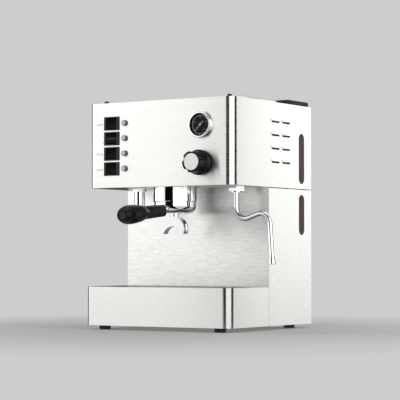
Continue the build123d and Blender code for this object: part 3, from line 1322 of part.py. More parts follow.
def pump_mounts():
    """Rubber blocks between the bracket and the pump."""
    top = PUMP_Z - PUMP_COIL / 2
    z = (top - PUMP_MOUNT_HEIGHT, top)
    return [upright(PUMP_X + dx, PUMP_Y, z, PUMP_MOUNT_RADIUS) for dx in (-PUMP_MOUNT_X, PUMP_MOUNT_X)]


def solenoid_valve():
    """Brew valve: brass block, stem and coil, standing on the head's floor."""
    z = FLOOR_TOP_Z
    foot = (-SOLENOID_HALF, SOLENOID_HALF)
    valve = block(foot, foot, (z, z + SOLENOID_BLOCK))
    valve += upright(0, 0, (z, z + SOLENOID_HEIGHT), SOLENOID_HALF / 2)
    coil_z = z + SOLENOID_BLOCK + SOLENOID_GAP
    coil = Box(2 * SOLENOID_COIL_X, 2 * SOLENOID_COIL_Y, SOLENOID_COIL)
    coil = Pos(0, 0, coil_z + SOLENOID_COIL / 2) * coil
    valve += fillet(coil.edges().filter_by(Axis.Z), SOLENOID_COIL_EDGE)
    return Pos(SOLENOID_X, SOLENOID_Y, 0) * valve


def suction_hose():
    """Silicone hose from under the tank's nipple, through the bulkhead, to the pump's inlet."""
    dock = TANK_FLOOR_Z - TANK_NIPPLE_LENGTH - TANK_DOCK_GAP
    points = [
        (PUMP_X + PUMP_LENGTH / 2 + PUMP_STUB, PUMP_Y, PUMP_Z), (HOSE_X, PUMP_Y, PUMP_Z),
        (HOSE_X, PUMP_Y, HOSE_Z), (HOSE_X, TANK_MIDDLE_Y, HOSE_Z),
        (0, TANK_MIDDLE_Y, HOSE_Z), (0, TANK_MIDDLE_Y, dock),
    ]
    return bent_bar(points, [HOSE_BEND] * (len(points) - 2), HOSE_RADIUS, HOSE_BORE)


def feed_pipe_x():
    """How far out the pump's pressure pipe rises."""
    return PUMP_X - PUMP_LENGTH / 2 - PUMP_STUB - 2 * PIPE_BEND


def boiler_side(offset, radius):
    """Where a pipe that runs along X, offset from the boiler's axis, meets the drum with a seat's gap."""
    near = max(abs(offset) - radius, 0)
    return sqrt(BOILER_RADIUS**2 - near**2) + SEAT_GAP


def copper_pipes():
    """Feed, steam, wand, hot-water and gauge lines."""
    x = feed_pipe_x()
    feed = [
        (PUMP_X - PUMP_LENGTH / 2 - PUMP_STUB, PUMP_Y, PUMP_Z), (x, PUMP_Y, PUMP_Z), (x, PUMP_Y, TAPPING_Z),
        (x, GROUP_Y, TAPPING_Z), (-boiler_side(0, PIPE_RADIUS), GROUP_Y, TAPPING_Z),
    ]
    valve_y = FRONT_Y + VALVE_DEPTH - VALVE_PORT_INSET
    drum_x = boiler_side(valve_y - GROUP_Y, PIPE_RADIUS)
    port_z = KNOB_Z - VALVE_PORT_LENGTH
    wand = [
        (KNOB_X, valve_y, port_z), (KNOB_X, valve_y, WAND_PIPE_Z),
        (WAND_X, WAND_Y, WAND_PIPE_Z), (WAND_X, WAND_Y, HEAD_Z),
    ]
    outlet = [
        (OUTLET_X, OUTLET_Y, HEAD_Z), (OUTLET_X, OUTLET_Y, OUTLET_PIPE_Z),
        (OUTLET_X, SOLENOID_Y - SOLENOID_HALF, OUTLET_PIPE_Z),
    ]
    gauge = [
        (GAUGE_X, FRONT_Y + GAUGE_CAN_DEPTH + GAUGE_TAIL, GAUGE_Z), (GAUGE_X, GROUP_Y, GAUGE_Z),
        (GAUGE_X, GROUP_Y, TAPPING_Z), (boiler_side(0, CAPILLARY_RADIUS), GROUP_Y, TAPPING_Z),
    ]
    return [
        bent_bar(feed, [PIPE_BEND] * 3, PIPE_RADIUS),
        rod((KNOB_X - VALVE_PORT_LENGTH, valve_y, KNOB_Z), (drum_x, valve_y, KNOB_Z), PIPE_RADIUS),
        bent_bar(wand, [WAND_PIPE_BEND] * 2, WAND_PIPE_RADIUS),
        bent_bar(outlet, [PIPE_BEND], PIPE_RADIUS),
        bent_bar(gauge, [CAPILLARY_BEND] * 2, CAPILLARY_RADIUS),
    ]


def parts():
    """Every node's name with its solid or its group of like solids."""
    yield "base_pan", base_pan()
    yield "rubber_feet", rubber_feet()
    yield "casing_screws", casing_screws()
    yield "head_wrap", head_wrap()
    yield "head_floor", head_floor()
    yield "top_plate", top_plate()
    yield "cup_rails", cup_rails()
    yield "rail_end_caps", rail_end_caps()
    yield "splash_panel", splash_panel()
    yield "lower_side_left", lower_side(-1)
    yield "lower_side_right", lower_side(1)
    yield "level_windows", [level_window(UPPER_WINDOW_Z), level_window(LOWER_WINDOW_Z)]
    yield "back_panel", back_panel()
    yield "mains_inlet", mains_inlet()
    yield "tank_bulkhead", tank_bulkhead()
    yield "water_tank", water_tank()
    yield "lid_pins", lid_pins()
    yield "tank_lid", tank_lid()
    yield "tray_fascia", tray_fascia()
    yield "drip_tub", drip_tub()
    yield "drip_grid", drip_grid()
    yield "switch_housings", [switch_housing(z) for z in SWITCH_Z]
    for number, z in enumerate(SWITCH_Z, 1):
        yield f"rocker_{number}", rocker(number, z)
    yield "lamp_bezels", lamp_bezels()
    yield "lamp_lenses", lamp_lenses()
    yield "gauge_case", gauge_case()
    yield "gauge_dial", gauge_dial()
    yield "gauge_needle", gauge_needle()
    yield "gauge_glass", gauge_glass()
    yield "knob_body", knob_body()
    yield "knob_cap", knob_cap()
    yield "valve_spindle", valve_spindle()
    yield "valve_body", valve_body()
    yield "group_bell", group_bell()
    yield "bayonet_ring", bayonet_ring()
    yield "group_gasket", group_gasket()
    yield "group_block", group_block()
    yield "shower_screen", shower_screen()
    yield "portafilter_bowl", portafilter_bowl()
    yield "filter_basket", filter_basket()
    yield "handle_ferrule", handle_ferrule()
    yield "handle_grip", handle_grip()
    yield "handle_plug", handle_plug()
    yield "twin_spout", twin_spout()
    yield "wand_socket", wand_socket()
    yield "steam_wand", steam_wand()
    yield "wand_tip", wand_tip()
    yield "hot_water_outlet", hot_water_outlet()
    yield "boiler", boiler()
    yield "heating_element", heating_element()
    yield "thermostat", thermostat()
    yield "pump", pump()
    yield "pump_bracket", pump_bracket()
    yield "pump_mounts", pump_mounts()
    yield "solenoid_valve", solenoid_valve()
    yield "suction_hose", suction_hose()
    yield "copper_pipes", copper_pipes()


def solids_of(shape):
    """A piece's solids, whether it is one piece or a group of like ones."""
    group = shape if isinstance(shape, list) else [shape]
    return [solid for piece in group for solid in piece.solids()]


def main():
    """Build every piece, centre the outline over the origin and write one file for each node."""
    pieces = {name: solids_of(shape) for name, shape in parts()}
    outline = Compound([solid for solids in pieces.values() for solid in solids]).bounding_box()
    centred = Pos(-outline.center().X, -outline.center().Y, -outline.min.Z)
    os.makedirs("parts", exist_ok=True)
    for name, solids in pieces.items():
        placed = [centred * solid for solid in solids]
        export_step(placed[0] if len(placed) == 1 else Compound(children=placed), f"parts/{name}.step")


main()
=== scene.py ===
import math

import bmesh
import bpy
from bpy.props import FloatProperty, FloatVectorProperty, IntProperty, PointerProperty
from mathutils import Matrix, Vector


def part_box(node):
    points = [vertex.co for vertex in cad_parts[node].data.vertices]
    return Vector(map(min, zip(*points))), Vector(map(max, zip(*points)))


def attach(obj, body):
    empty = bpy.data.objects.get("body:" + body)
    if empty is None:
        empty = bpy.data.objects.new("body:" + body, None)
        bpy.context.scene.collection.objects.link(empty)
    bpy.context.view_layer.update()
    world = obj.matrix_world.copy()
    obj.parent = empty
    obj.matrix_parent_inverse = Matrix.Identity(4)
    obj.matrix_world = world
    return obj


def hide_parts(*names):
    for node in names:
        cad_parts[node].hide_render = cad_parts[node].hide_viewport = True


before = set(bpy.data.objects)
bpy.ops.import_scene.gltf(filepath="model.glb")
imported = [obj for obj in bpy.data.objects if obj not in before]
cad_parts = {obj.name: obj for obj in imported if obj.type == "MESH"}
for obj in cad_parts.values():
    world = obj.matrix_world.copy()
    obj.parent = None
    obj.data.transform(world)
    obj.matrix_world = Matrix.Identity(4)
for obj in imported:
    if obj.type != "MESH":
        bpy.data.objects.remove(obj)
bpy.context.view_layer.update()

bl_info = {
    "name": "Espresso machine finishes",
    "version": (1, 0, 0),
    "blender": (4, 5, 0),
    "location": "3D View > Sidebar > Espresso",
    "description": "Finishes, printed marks, screws, knob grip, spout and studio for the espresso machine",
    "category": "Object",
}

MM = 0.001
UP, DOWN = Vector((0, 0, 1)), Vector((0, 0, -1))
FRONT, BACK = Vector((0, -1, 0)), Vector((0, 1, 0))
# Turns a shape that was made lying down so that it faces the front.
UPRIGHT = (math.pi / 2, 0, 0)
# Faces that meet at more than this have an edge between them.
SHARP = math.radians(35)
# A face points a way when its normal's share along that way is above this.
SQUARE_ON = 0.9
# Most of a noise pattern's values lie in this span.
NOISE_SPAN = {"From Min": 0.3, "From Max": 0.7}
# The Mix node's colour sockets, whose names its other sockets have too.
MIX_FROM, MIX_TO, MIX_OUT = 6, 7, 2
# Each rocker's word, and how many millimetres it stands above the rocker's middle.
SWITCH_WORDS = (
    ("rocker_1", "ON/OFF", -1.4), ("rocker_2", "1", 3.4), ("rocker_2", "2", -5.8),
    ("rocker_3", "ON/OFF", -0.6), ("rocker_4", "ON/OFF", -1.6),
)
# Soft panels: start and end in degrees from the front round to the right, and share of the panels' light.
PANELS = (
    ("left panel", -90, -60, 1), ("front panel", -60, -30, 0.92), ("inner panel", -30, -19, 0.4),
    ("right panel", 23, 72, 1), ("far panel", 72, 118, 1), ("back panel", 142, 182, 0.85),
)
# Black cards, by the same angles.
CARDS = (("front card", -19, 23), ("far card", 99, 142), ("back card", 184, 204), ("left card", -150, -90))
# Black cloths, each with the side of the drawer's corner that it starts from.
CLOTHS = (
    ("front cloth", "right", -19, 23), ("far cloth", "right", 99, 142), ("left cloth", "left", -150, -90),
)


def linear(code):
    """Linear colour of an sRGB hex value."""
    shares = [int(code[i:i + 2], 16) / 255 for i in (0, 2, 4)]
    return [s / 12.92 if s <= 0.04045 else ((s + 0.055) / 1.055) ** 2.4 for s in shares]


def colour(code, name, note):
    """A colour setting that starts at an sRGB hex value."""
    return FloatVectorProperty(
        name=name, description=note, subtype="COLOR", min=0, max=1, default=linear(code))


def length(size, name, note):
    """A length setting in metres."""
    return FloatProperty(name=name, description=note, subtype="DISTANCE", unit="LENGTH", default=size)


def angle(degrees, name, note):
    """An angle setting."""
    return FloatProperty(name=name, description=note, subtype="ANGLE", default=math.radians(degrees))


def share(size, name, note):
    """A setting that is a share of another size."""
    return FloatProperty(name=name, description=note, subtype="FACTOR", min=0, max=2, default=size)


def count(number, name, note):
    """A setting that counts."""
    return IntProperty(name=name, description=note, default=number)


class StageSettings(bpy.types.PropertyGroup):
    """Camera, floor and lamps."""
    ground: colour("CDCDCD", "Ground", "Pale grey of the far floor and of the background")
    # Darker than the ground: painted shade on the floor round the machine.
    floor: colour("BEBEBE", "Floor", "Grey of the floor near the machine")
    card: colour("060606", "Card", "Black of the cards and cloths that edge the bright metal")
    floor_size: length(30, "Floor size", "Radius of the whole floor")
    floor_middle: length(1.5, "Floor middle", "Radius of the floor's inner face")
    fade_start: length(0.25, "Fade start", "Where the floor starts to fade into the background")
    fade_end: length(0.85, "Fade end", "Where the floor has faded")
    camera_place: FloatVectorProperty(
        name="Camera place", description="Where the camera stands, from the floor under the head's middle",
        subtype="TRANSLATION", unit="LENGTH", default=(1.5283, -2.3472, 0.1171))
    camera_aim: FloatVectorProperty(
        name="Camera aim", description="Point at the middle of the picture, from the same place",
        subtype="TRANSLATION", unit="LENGTH", default=(-0.00222, 0.0, 0.21377))
    lens: FloatProperty(name="Lens", description="Focal length in millimetres", unit="CAMERA", default=151.05)
    sensor: FloatProperty(name="Sensor", description="Width in millimetres", unit="CAMERA", default=36)
    sight: length(200, "Sight", "How far the camera sees")
    panel_light: FloatProperty(
        name="Panel light", description="Power of a square metre of soft panel", unit="POWER", default=3.4)
    panel_distance: length(2.2, "Panel distance", "From the machine's middle to the soft panels")
    card_distance: length(1.9, "Card distance", "From the machine's middle to the black cards")
    board_height: length(2.0, "Board height", "Height of the panels and cards")
    board_drop: length(0.25, "Board drop", "How far the panels and cards reach below the floor")
    cloth_lift: length(0.5 * MM, "Cloth lift", "Height of the black cloths above the floor")
    top_height: length(2.3, "Top height", "Height of the panel above the machine")
    top_size: length(1.8, "Top size", "Side of the panel above the machine")
    top_light: FloatProperty(
        name="Top light", description="Power of the panel above the machine", unit="POWER", default=7.0)


class FinishSettings(bpy.types.PropertyGroup):
    """Colours of the machine's materials."""
    steel: colour("E8E8E5", "Steel", "Brushed stainless sheet")
    steel_shade: colour("DEDEDB", "Steel shade", "Darker hairlines in the sheet")
    # Paler than the casing's steel: painted light on the splash panel in its recess.
    rubbed: colour("F2F2EF", "Rubbed", "Hand-rubbed splash panel")
    rubbed_shade: colour("D8D8D5", "Rubbed shade", "Darker scratches in the splash panel")
    # Darker than the steel: the grid's grey is painted shade under the head.
    grid: colour("8E8E8B", "Grid", "Tumbled drip grid")
    grid_shade: colour("7A7A78", "Grid shade", "Darker patches in the drip grid")
    pressed_steel: colour("C4C4C2", "Pressed steel", "Basket, screen and pins")
    nickel: colour("5E5E60", "Nickel", "Dark nickel on the lamp rings")
    chrome: colour("EEF0F1", "Chrome", "Polished chrome plate")
    aluminium: colour("E2E2E2", "Aluminium", "Turned cap of the steam knob")
    brass: colour("C9A45C", "Brass", "Boiler, valves and group block")
    copper: colour("C98A62", "Copper", "Drawn pipes")
    rubber: colour("161616", "Rubber", "Feet, gasket and pump mounts")
    silicone: colour("C9C6BE", "Silicone", "Suction hose")
    housing: colour("1E1E1E", "Housing", "Moulded switch housings, inlet, caps and drip tub")
    rocker: colour("090909", "Rocker", "Smooth nylon rockers")
    # Paler grey line along the second rocker's ridge.
    ridge: colour("525252", "Ridge", "Paler grey on the second rocker's ridge")
    phenolic: colour("0A0A0A", "Phenolic", "Handle and steam knob")
    plug: colour("2C2C2C", "Plug", "End plug of the handle")
    lid: colour("2E2E2F", "Lid", "Tank lid")
    tank: colour("DDE2E4", "Tank", "Clear water tank")
    window: colour("3F2626", "Window", "Smoked level windows")
    lens: colour("CCCCCA", "Lens", "Lamp lenses")
    glass: colour("FFFFFF", "Glass", "Gauge glass")
    dial: colour("101010", "Dial", "Painted gauge face")
    needle: colour("C2C2BF", "Needle", "Enamelled gauge needle")
    dial_ink: colour("C8C8C6", "Dial ink", "Scale printed on the gauge face")
    label_ink: colour("565656", "Label ink", "Marks printed beside the switches")


class MarkSettings(bpy.types.PropertyGroup):
    """Sizes of the printed marks."""
    ink: length(0.05 * MM, "Ink", "Thickness of the print")
    scale_radius: length(15.3 * MM, "Scale radius", "Outside of the gauge's scale")
    scale_line: length(0.8 * MM, "Scale line", "Width of the scale's circle")
    tick: length(1.5 * MM, "Tick", "Length of a small division")
    long_tick: length(2.4 * MM, "Long tick", "Length of a numbered division")
    tick_width: length(0.6 * MM, "Tick width", "Width of a division at the circle")
    tick_taper: share(0.7, "Tick taper", "Width of a division's inner end against its outer end")
    divisions: count(16, "Divisions", "Steps from zero to full scale")
    numbered: count(4, "Numbered", "Steps from one figure to the next")
    sweep: angle(270, "Sweep", "From zero to full scale")
    zero: angle(225, "Zero", "From the right to the zero mark")
    numeral: length(2.6 * MM, "Numeral", "Height of the figures on the gauge")
    numeral_drop: length(1.95 * MM, "Numeral drop", "From a division's end to the middle of its figure")
    label: length(3.8 * MM, "Label", "Height of the words beside the switches")
    label_gap: length(2.0 * MM, "Label gap", "Space between a word and its switch")


class ScrewSettings(bpy.types.PropertyGroup):
    """Sizes of the cross-head screws."""
    head: length(3.4 * MM, "Head", "Radius of a back-panel screw's head")
    height: length(2.0 * MM, "Height", "Height of that head")
    shank: length(1.9 * MM, "Shank", "Radius of that screw's shank")
    reach: length(4.6 * MM, "Reach", "Length of that shank")
    flange: length(3.5 * MM, "Flange", "From the back panel's sides to the screws")
    bottom: length(20 * MM, "Bottom", "From the back panel's lower edge to the lowest screws")
    seam: length(14 * MM, "Seam", "From the head's lower edge down to the middle screws")
    top: length(16 * MM, "Top", "From the back panel's upper edge to the highest screws")
    foot_head: length(4.0 * MM, "Foot head", "Radius of a foot screw's head")
    foot_height: length(2.4 * MM, "Foot height", "Height of that head")
    foot_shank: length(2.0 * MM, "Foot shank", "Radius of that screw's shank")
    foot_seat: length(3.4 * MM, "Foot seat", "Height above the floor of a foot screw's seat")
    foot_radius: length(9.5 * MM, "Foot radius", "From a foot's outside to its screw")
    foot_tip: length(0.8 * MM, "Foot tip", "Height of a foot screw's tip in the pan")
    cross: length(1.0 * MM, "Cross", "Width of the cross recess")
    depth: length(1.2 * MM, "Depth", "Depth of the cross recess")
    arms: share(1.25, "Arms", "Length of the cross against the head's radius")
    arm_taper: share(0.55, "Arm taper", "Length of the cross at its bottom against its mouth")
    slot_taper: share(0.7, "Slot taper", "Width of the cross at its bottom against its mouth")
    dome: share(0.55, "Dome", "Rounded part of the head's height")
    tip_edge: share(0.35, "Tip edge", "Bevel at the shank's end against its radius")
    tip_length: share(0.2, "Tip length", "Length of the shank's tip against its radius")


class InletSettings(bpy.types.PropertyGroup):
    """Sizes of the mains inlet's blades."""
    width: length(2.2 * MM, "Width", "Width of a blade")
    height: length(4.2 * MM, "Height", "Height of a blade")
    edge: length(0.6 * MM, "Edge", "Rounding of a blade's end")
    root: length(3.1 * MM, "Root", "From the inlet's inner end to a blade's foot")
    mouth: length(3.9 * MM, "Mouth", "From a blade's end to the inlet's face")
    pitch: length(7.0 * MM, "Pitch", "From the middle to an outer blade")
    drop: length(1.5 * MM, "Drop", "How far the outer blades stand below the middle")
    rise: length(2.5 * MM, "Rise", "How far the earth blade stands above the middle")


class KnobSettings(bpy.types.PropertyGroup):
    """Sizes of the steam knob's grip."""
    grip: length(17.0 * MM, "Grip", "Radius over the lobes")
    skirt: length(7.0 * MM, "Skirt", "Length of the round skirt")
    flare: length(8.5 * MM, "Flare", "Length over which the lobes run out into the skirt")
    rings: count(8, "Rings", "Steps in the flare")
    flutes: count(5, "Flutes", "Number of finger flutes")
    flute: length(4.6 * MM, "Flute", "Radius of a flute")
    flute_end: share(0.9, "Flute end", "Rounding of a flute's end against its radius")
    floor: length(14.2 * MM, "Floor", "From the axis to the bottom of a flute")
    reach: length(17.0 * MM, "Reach", "Length of a flute from the nose")
    over: length(1.0 * MM, "Over", "How far the flutes' cutters start in front of the nose")
    first: angle(19, "First", "From the right to the first flute")
    edge: length(0.6 * MM, "Edge", "Rounding of the edges")
    fit: length(0.1 * MM, "Fit", "Room round the cap")


class SpoutSettings(bpy.types.PropertyGroup):
    """Sizes of the twin spout."""
    back: length(20.5 * MM, "Back", "Radius over the spout's round back")
    arch: length(18.2 * MM, "Arch", "Radius of the arch between the tips")
    rise: length(12.5 * MM, "Rise", "Height of the arch above the tips")
    width: length(15.0 * MM, "Width", "Size from front to back")
    neck: length(5.0 * MM, "Neck", "Height of the boss over the spout's back")
    boss: length(6.0 * MM, "Boss", "Radius of the boss under the bowl")
    channel: length(8.0 * MM, "Channel", "Width of the open channel over the back")
    depth: length(1.0 * MM, "Depth", "Depth of the channel")
    edge: length(0.5 * MM, "Edge", "Rounding of the edges")


def feed(tree, node, inputs):
    """Set a node's inputs: each takes a value or the output that drives it."""
    for name, value in inputs.items():
        socket = node.inputs[name]
        if isinstance(value, bpy.types.NodeSocket):
            tree.links.new(value, socket)
        else:
            socket.default_value = value


def add(tree, kind, inputs, out=0, **settings):
    """Add one shader node with its settings and links, and give one of its outputs."""
    node = tree.nodes.new("ShaderNode" + kind)
    for name, value in settings.items():
        setattr(node, name, value)
    feed(tree, node, inputs)
    return node.outputs[out]


def coating(name, inputs):
    """A new material with its plain shader values, its tree, its shader and its Object coordinates."""
    material = bpy.data.materials.new(name)
    material.use_nodes = True
    tree = material.node_tree
    shader = tree.nodes["Principled BSDF"]
    feed(tree, shader, inputs)
    return material, tree, shader, add(tree, "TexCoord", {}, out="Object")


def opaque(shade):
    """A colour setting as a shader's four values."""
    return (*shade, 1.0)


def tint(key):
    """One of the finishes' colours as a shader's four values."""
    return opaque(getattr(bpy.context.scene.espresso_finishes, key))


def middle_of(node):
    """Middle of a CAD node's box."""
    return sum(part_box(node), Vector()) / 2


def brushed_sheet(name, shade, dull, hair, axis, turn, gloss, drag, depth):
    """Stainless sheet brushed on a belt: hairlines that smear reflections across the grain.

    Real hairlines are about 0.1 mm apart and long. They are drawn 1.5 mm apart or more so that they show.
    """
    plain = {"Metallic": 1.0, "Anisotropic": drag, "Anisotropic Rotation": turn}
    material, tree, shader, place = coating(name, plain)
    run = add(tree, "Mapping", {"Vector": place, "Scale": [1 / (part * MM) for part in hair]})
    hairs = add(tree, "TexNoise", {"Vector": run, "Scale": 1.0, "Detail": 4.0, "Roughness": 0.6})
    cloud = add(tree, "TexNoise", {"Vector": place, "Scale": 1 / (90 * MM), "Detail": 2.0})
    tone = add(tree, "MapRange", {"Value": hairs, **NOISE_SPAN})
    base = add(tree, "Mix", {"Factor": tone, MIX_FROM: tint(dull), MIX_TO: tint(shade)},
               out=MIX_OUT, data_type="RGBA")
    rough = add(tree, "MapRange", {"Value": hairs, **NOISE_SPAN, "To Min": gloss, "To Max": gloss + 0.01})
    shift = add(tree, "MapRange",
               {"Value": cloud, "From Min": 0.35, "From Max": 0.65, "To Min": -0.002, "To Max": 0.006})
    total = add(tree, "Math", {0: rough, 1: shift}, operation="ADD")
    relief = add(tree, "Bump", {"Strength": depth, "Distance": 0.03 * MM, "Height": hairs})
    spun = add(tree, "Tangent", {}, direction_type="RADIAL", axis=axis)
    feed(tree, shader, {"Base Color": base, "Roughness": total, "Normal": relief, "Tangent": spun})
    return material


def chrome_plate(name, shade):
    """Polished chrome over brass: mirror black and white, with the faint waviness of buffing."""
    material, tree, shader, place = coating(name, {"Base Color": tint(shade), "Metallic": 1.0})
    haze = add(tree, "TexNoise", {"Vector": place, "Scale": 1 / (14 * MM), "Detail": 4.0})
    rough = add(tree, "MapRange",
                {"Value": haze, "From Min": 0.35, "From Max": 0.7, "To Min": 0.035, "To Max": 0.085})
    wave = add(tree, "TexNoise", {"Vector": place, "Scale": 1 / (9 * MM), "Detail": 1.0})
    relief = add(tree, "Bump", {"Strength": 0.05, "Distance": 0.2 * MM, "Height": wave})
    feed(tree, shader, {"Roughness": rough, "Normal": relief})
    return material


def plain_metal(name, shade, rough):
    """A metal with no grain: a soft sheen broken by faint marks of the press or the plating bath."""
    material, tree, shader, place = coating(name, {"Base Color": tint(shade), "Metallic": 1.0})
    marks = add(tree, "TexNoise", {"Vector": place, "Scale": 1 / (2 * MM), "Detail": 3.0})
    dulled = add(tree, "MapRange", {"Value": marks, **NOISE_SPAN, "To Min": rough[0], "To Max": rough[1]})
    relief = add(tree, "Bump", {"Strength": 0.08, "Distance": 0.05 * MM, "Height": marks})
    feed(tree, shader, {"Roughness": dulled, "Normal": relief})
    return material


def warm_metal(name, shade, mark, rough):
    """Bare brass or copper: a warm sheen with tool marks and a little tarnish."""
    material, tree, shader, place = coating(name, {"Metallic": 1.0})
    stain = add(tree, "TexNoise", {"Vector": place, "Scale": 1 / (18 * MM), "Detail": 4.0})
    bright = tint(shade)
    tarnish = opaque(0.72 * part for part in bright[:3])
    base = add(tree, "Mix", {"Factor": stain, MIX_FROM: bright, MIX_TO: tarnish},
               out=MIX_OUT, data_type="RGBA")
    marks = add(tree, "TexNoise", {"Vector": place, "Scale": 1 / (mark * MM), "Detail": 2.0})
    dulled = add(tree, "MapRange", {"Value": marks, **NOISE_SPAN, "To Min": rough[0], "To Max": rough[1]})
    relief = add(tree, "Bump", {"Strength": 0.1, "Distance": 0.05 * MM, "Height": marks})
    feed(tree, shader, {"Base Color": base, "Roughness": dulled, "Normal": relief})
    return material


def turned_metal(name, shade, pitch, node):
    """Metal faced on a lathe: fine rings about a node's axis, drawn far enough apart to show."""
    material, tree, shader, place = coating(name, {"Base Color": tint(shade), "Metallic": 1.0})
    centred = add(tree, "Mapping", {"Vector": place, "Location": -middle_of(node)})
    # A wave of scale 1 has a ring every pi / 10 units.
    spacing = {"Scale": math.pi / 10 / (pitch * MM), "Distortion": 0.4, "Detail": 2.0}
    rings = add(tree, "TexWave", {"Vector": centred, **spacing},
                out=1, wave_type="RINGS", rings_direction="Y")
    rough = add(tree, "MapRange", {"Value": rings, "To Min": 0.34, "To Max": 0.46})
    relief = add(tree, "Bump", {"Strength": 0.12, "Distance": 0.05 * MM, "Height": rings})
    feed(tree, shader, {"Roughness": rough, "Normal": relief})
    return material


def moulding(name, shade, grit, rough, depth, gleam=0.5, ior=1.5):
    """A moulded plastic or rubber, a paint or an ink: its grit breaks up the gloss, and handling varies it.

    Real grit is about 0.05 mm. It is drawn 0.6 mm or more across so that it shows.
    """
    plain = {"Base Color": tint(shade), "IOR": ior, "Specular IOR Level": gleam}
    material, tree, shader, place = coating(name, plain)
    grain = add(tree, "TexNoise", {"Vector": place, "Scale": 1 / (grit * MM), "Detail": 3.0})
    touch = add(tree, "TexNoise", {"Vector": place, "Scale": 1 / (22 * MM), "Detail": 2.0})
    both = add(tree, "Math", {0: grain, 1: touch}, operation="MULTIPLY")
    dulled = add(tree, "MapRange",
                 {"Value": both, "From Min": 0.12, "From Max": 0.4, "To Min": rough[0], "To Max": rough[1]})
    relief = add(tree, "Bump", {"Strength": depth, "Distance": 0.08 * MM, "Height": grain})
    feed(tree, shader, {"Roughness": dulled, "Normal": relief})
    return material


def ridged_moulding(ridge, node, **values):
    """A moulding with a paler grey line along its level ridge, at a node's middle."""
    material = moulding(**values)
    tree = material.node_tree
    place = add(tree, "TexCoord", {}, out="Object")
    centred = add(tree, "Mapping", {"Vector": place, "Location": -middle_of(node)})
    rise = add(tree, "SeparateXYZ", {"Vector": centred}, out="Z")
    off = add(tree, "Math", {0: rise}, operation="ABSOLUTE")
    # A paler grey band, within about 0.8 mm of the rocker's middle height, along its ridge.
    edge = {"From Min": 0.7 * MM, "From Max": 0.9 * MM, "To Min": 1.0, "To Max": 0.0}
    shift = add(tree, "MapRange", {"Value": off, **edge})
    base = add(tree, "Mix", {"Factor": shift, MIX_FROM: tint(values["shade"]), MIX_TO: tint(ridge)},
               out=MIX_OUT, data_type="RGBA")
    feed(tree, tree.nodes["Principled BSDF"], {"Base Color": base})
    return material


def clear_moulding(name, shade, ior, through, rough, gleam=0.5):
    """A clear or tinted moulding: see-through, with faint flow marks in its gloss."""
    plain = {"Base Color": tint(shade), "IOR": ior, "Specular IOR Level": gleam}
    material, tree, shader, place = coating(name, {**plain, "Transmission Weight": through})
    flow = add(tree, "TexNoise", {"Vector": place, "Scale": 1 / (25 * MM), "Detail": 2.0, "Distortion": 0.6})
    haze = add(tree, "MapRange", {"Value": flow, **NOISE_SPAN, "To Min": rough[0], "To Max": rough[1]})
    feed(tree, shader, {"Roughness": haze})
    return material


# What the plain rockers and the ridged one share, and what both inks share.
SMOOTH_NYLON = dict(shade="rocker", grit=4, rough=(0.3, 0.42), depth=0.03, gleam=0.06, ior=1.53)
INK = dict(grit=0.6, rough=(0.5, 0.65), depth=0.06)
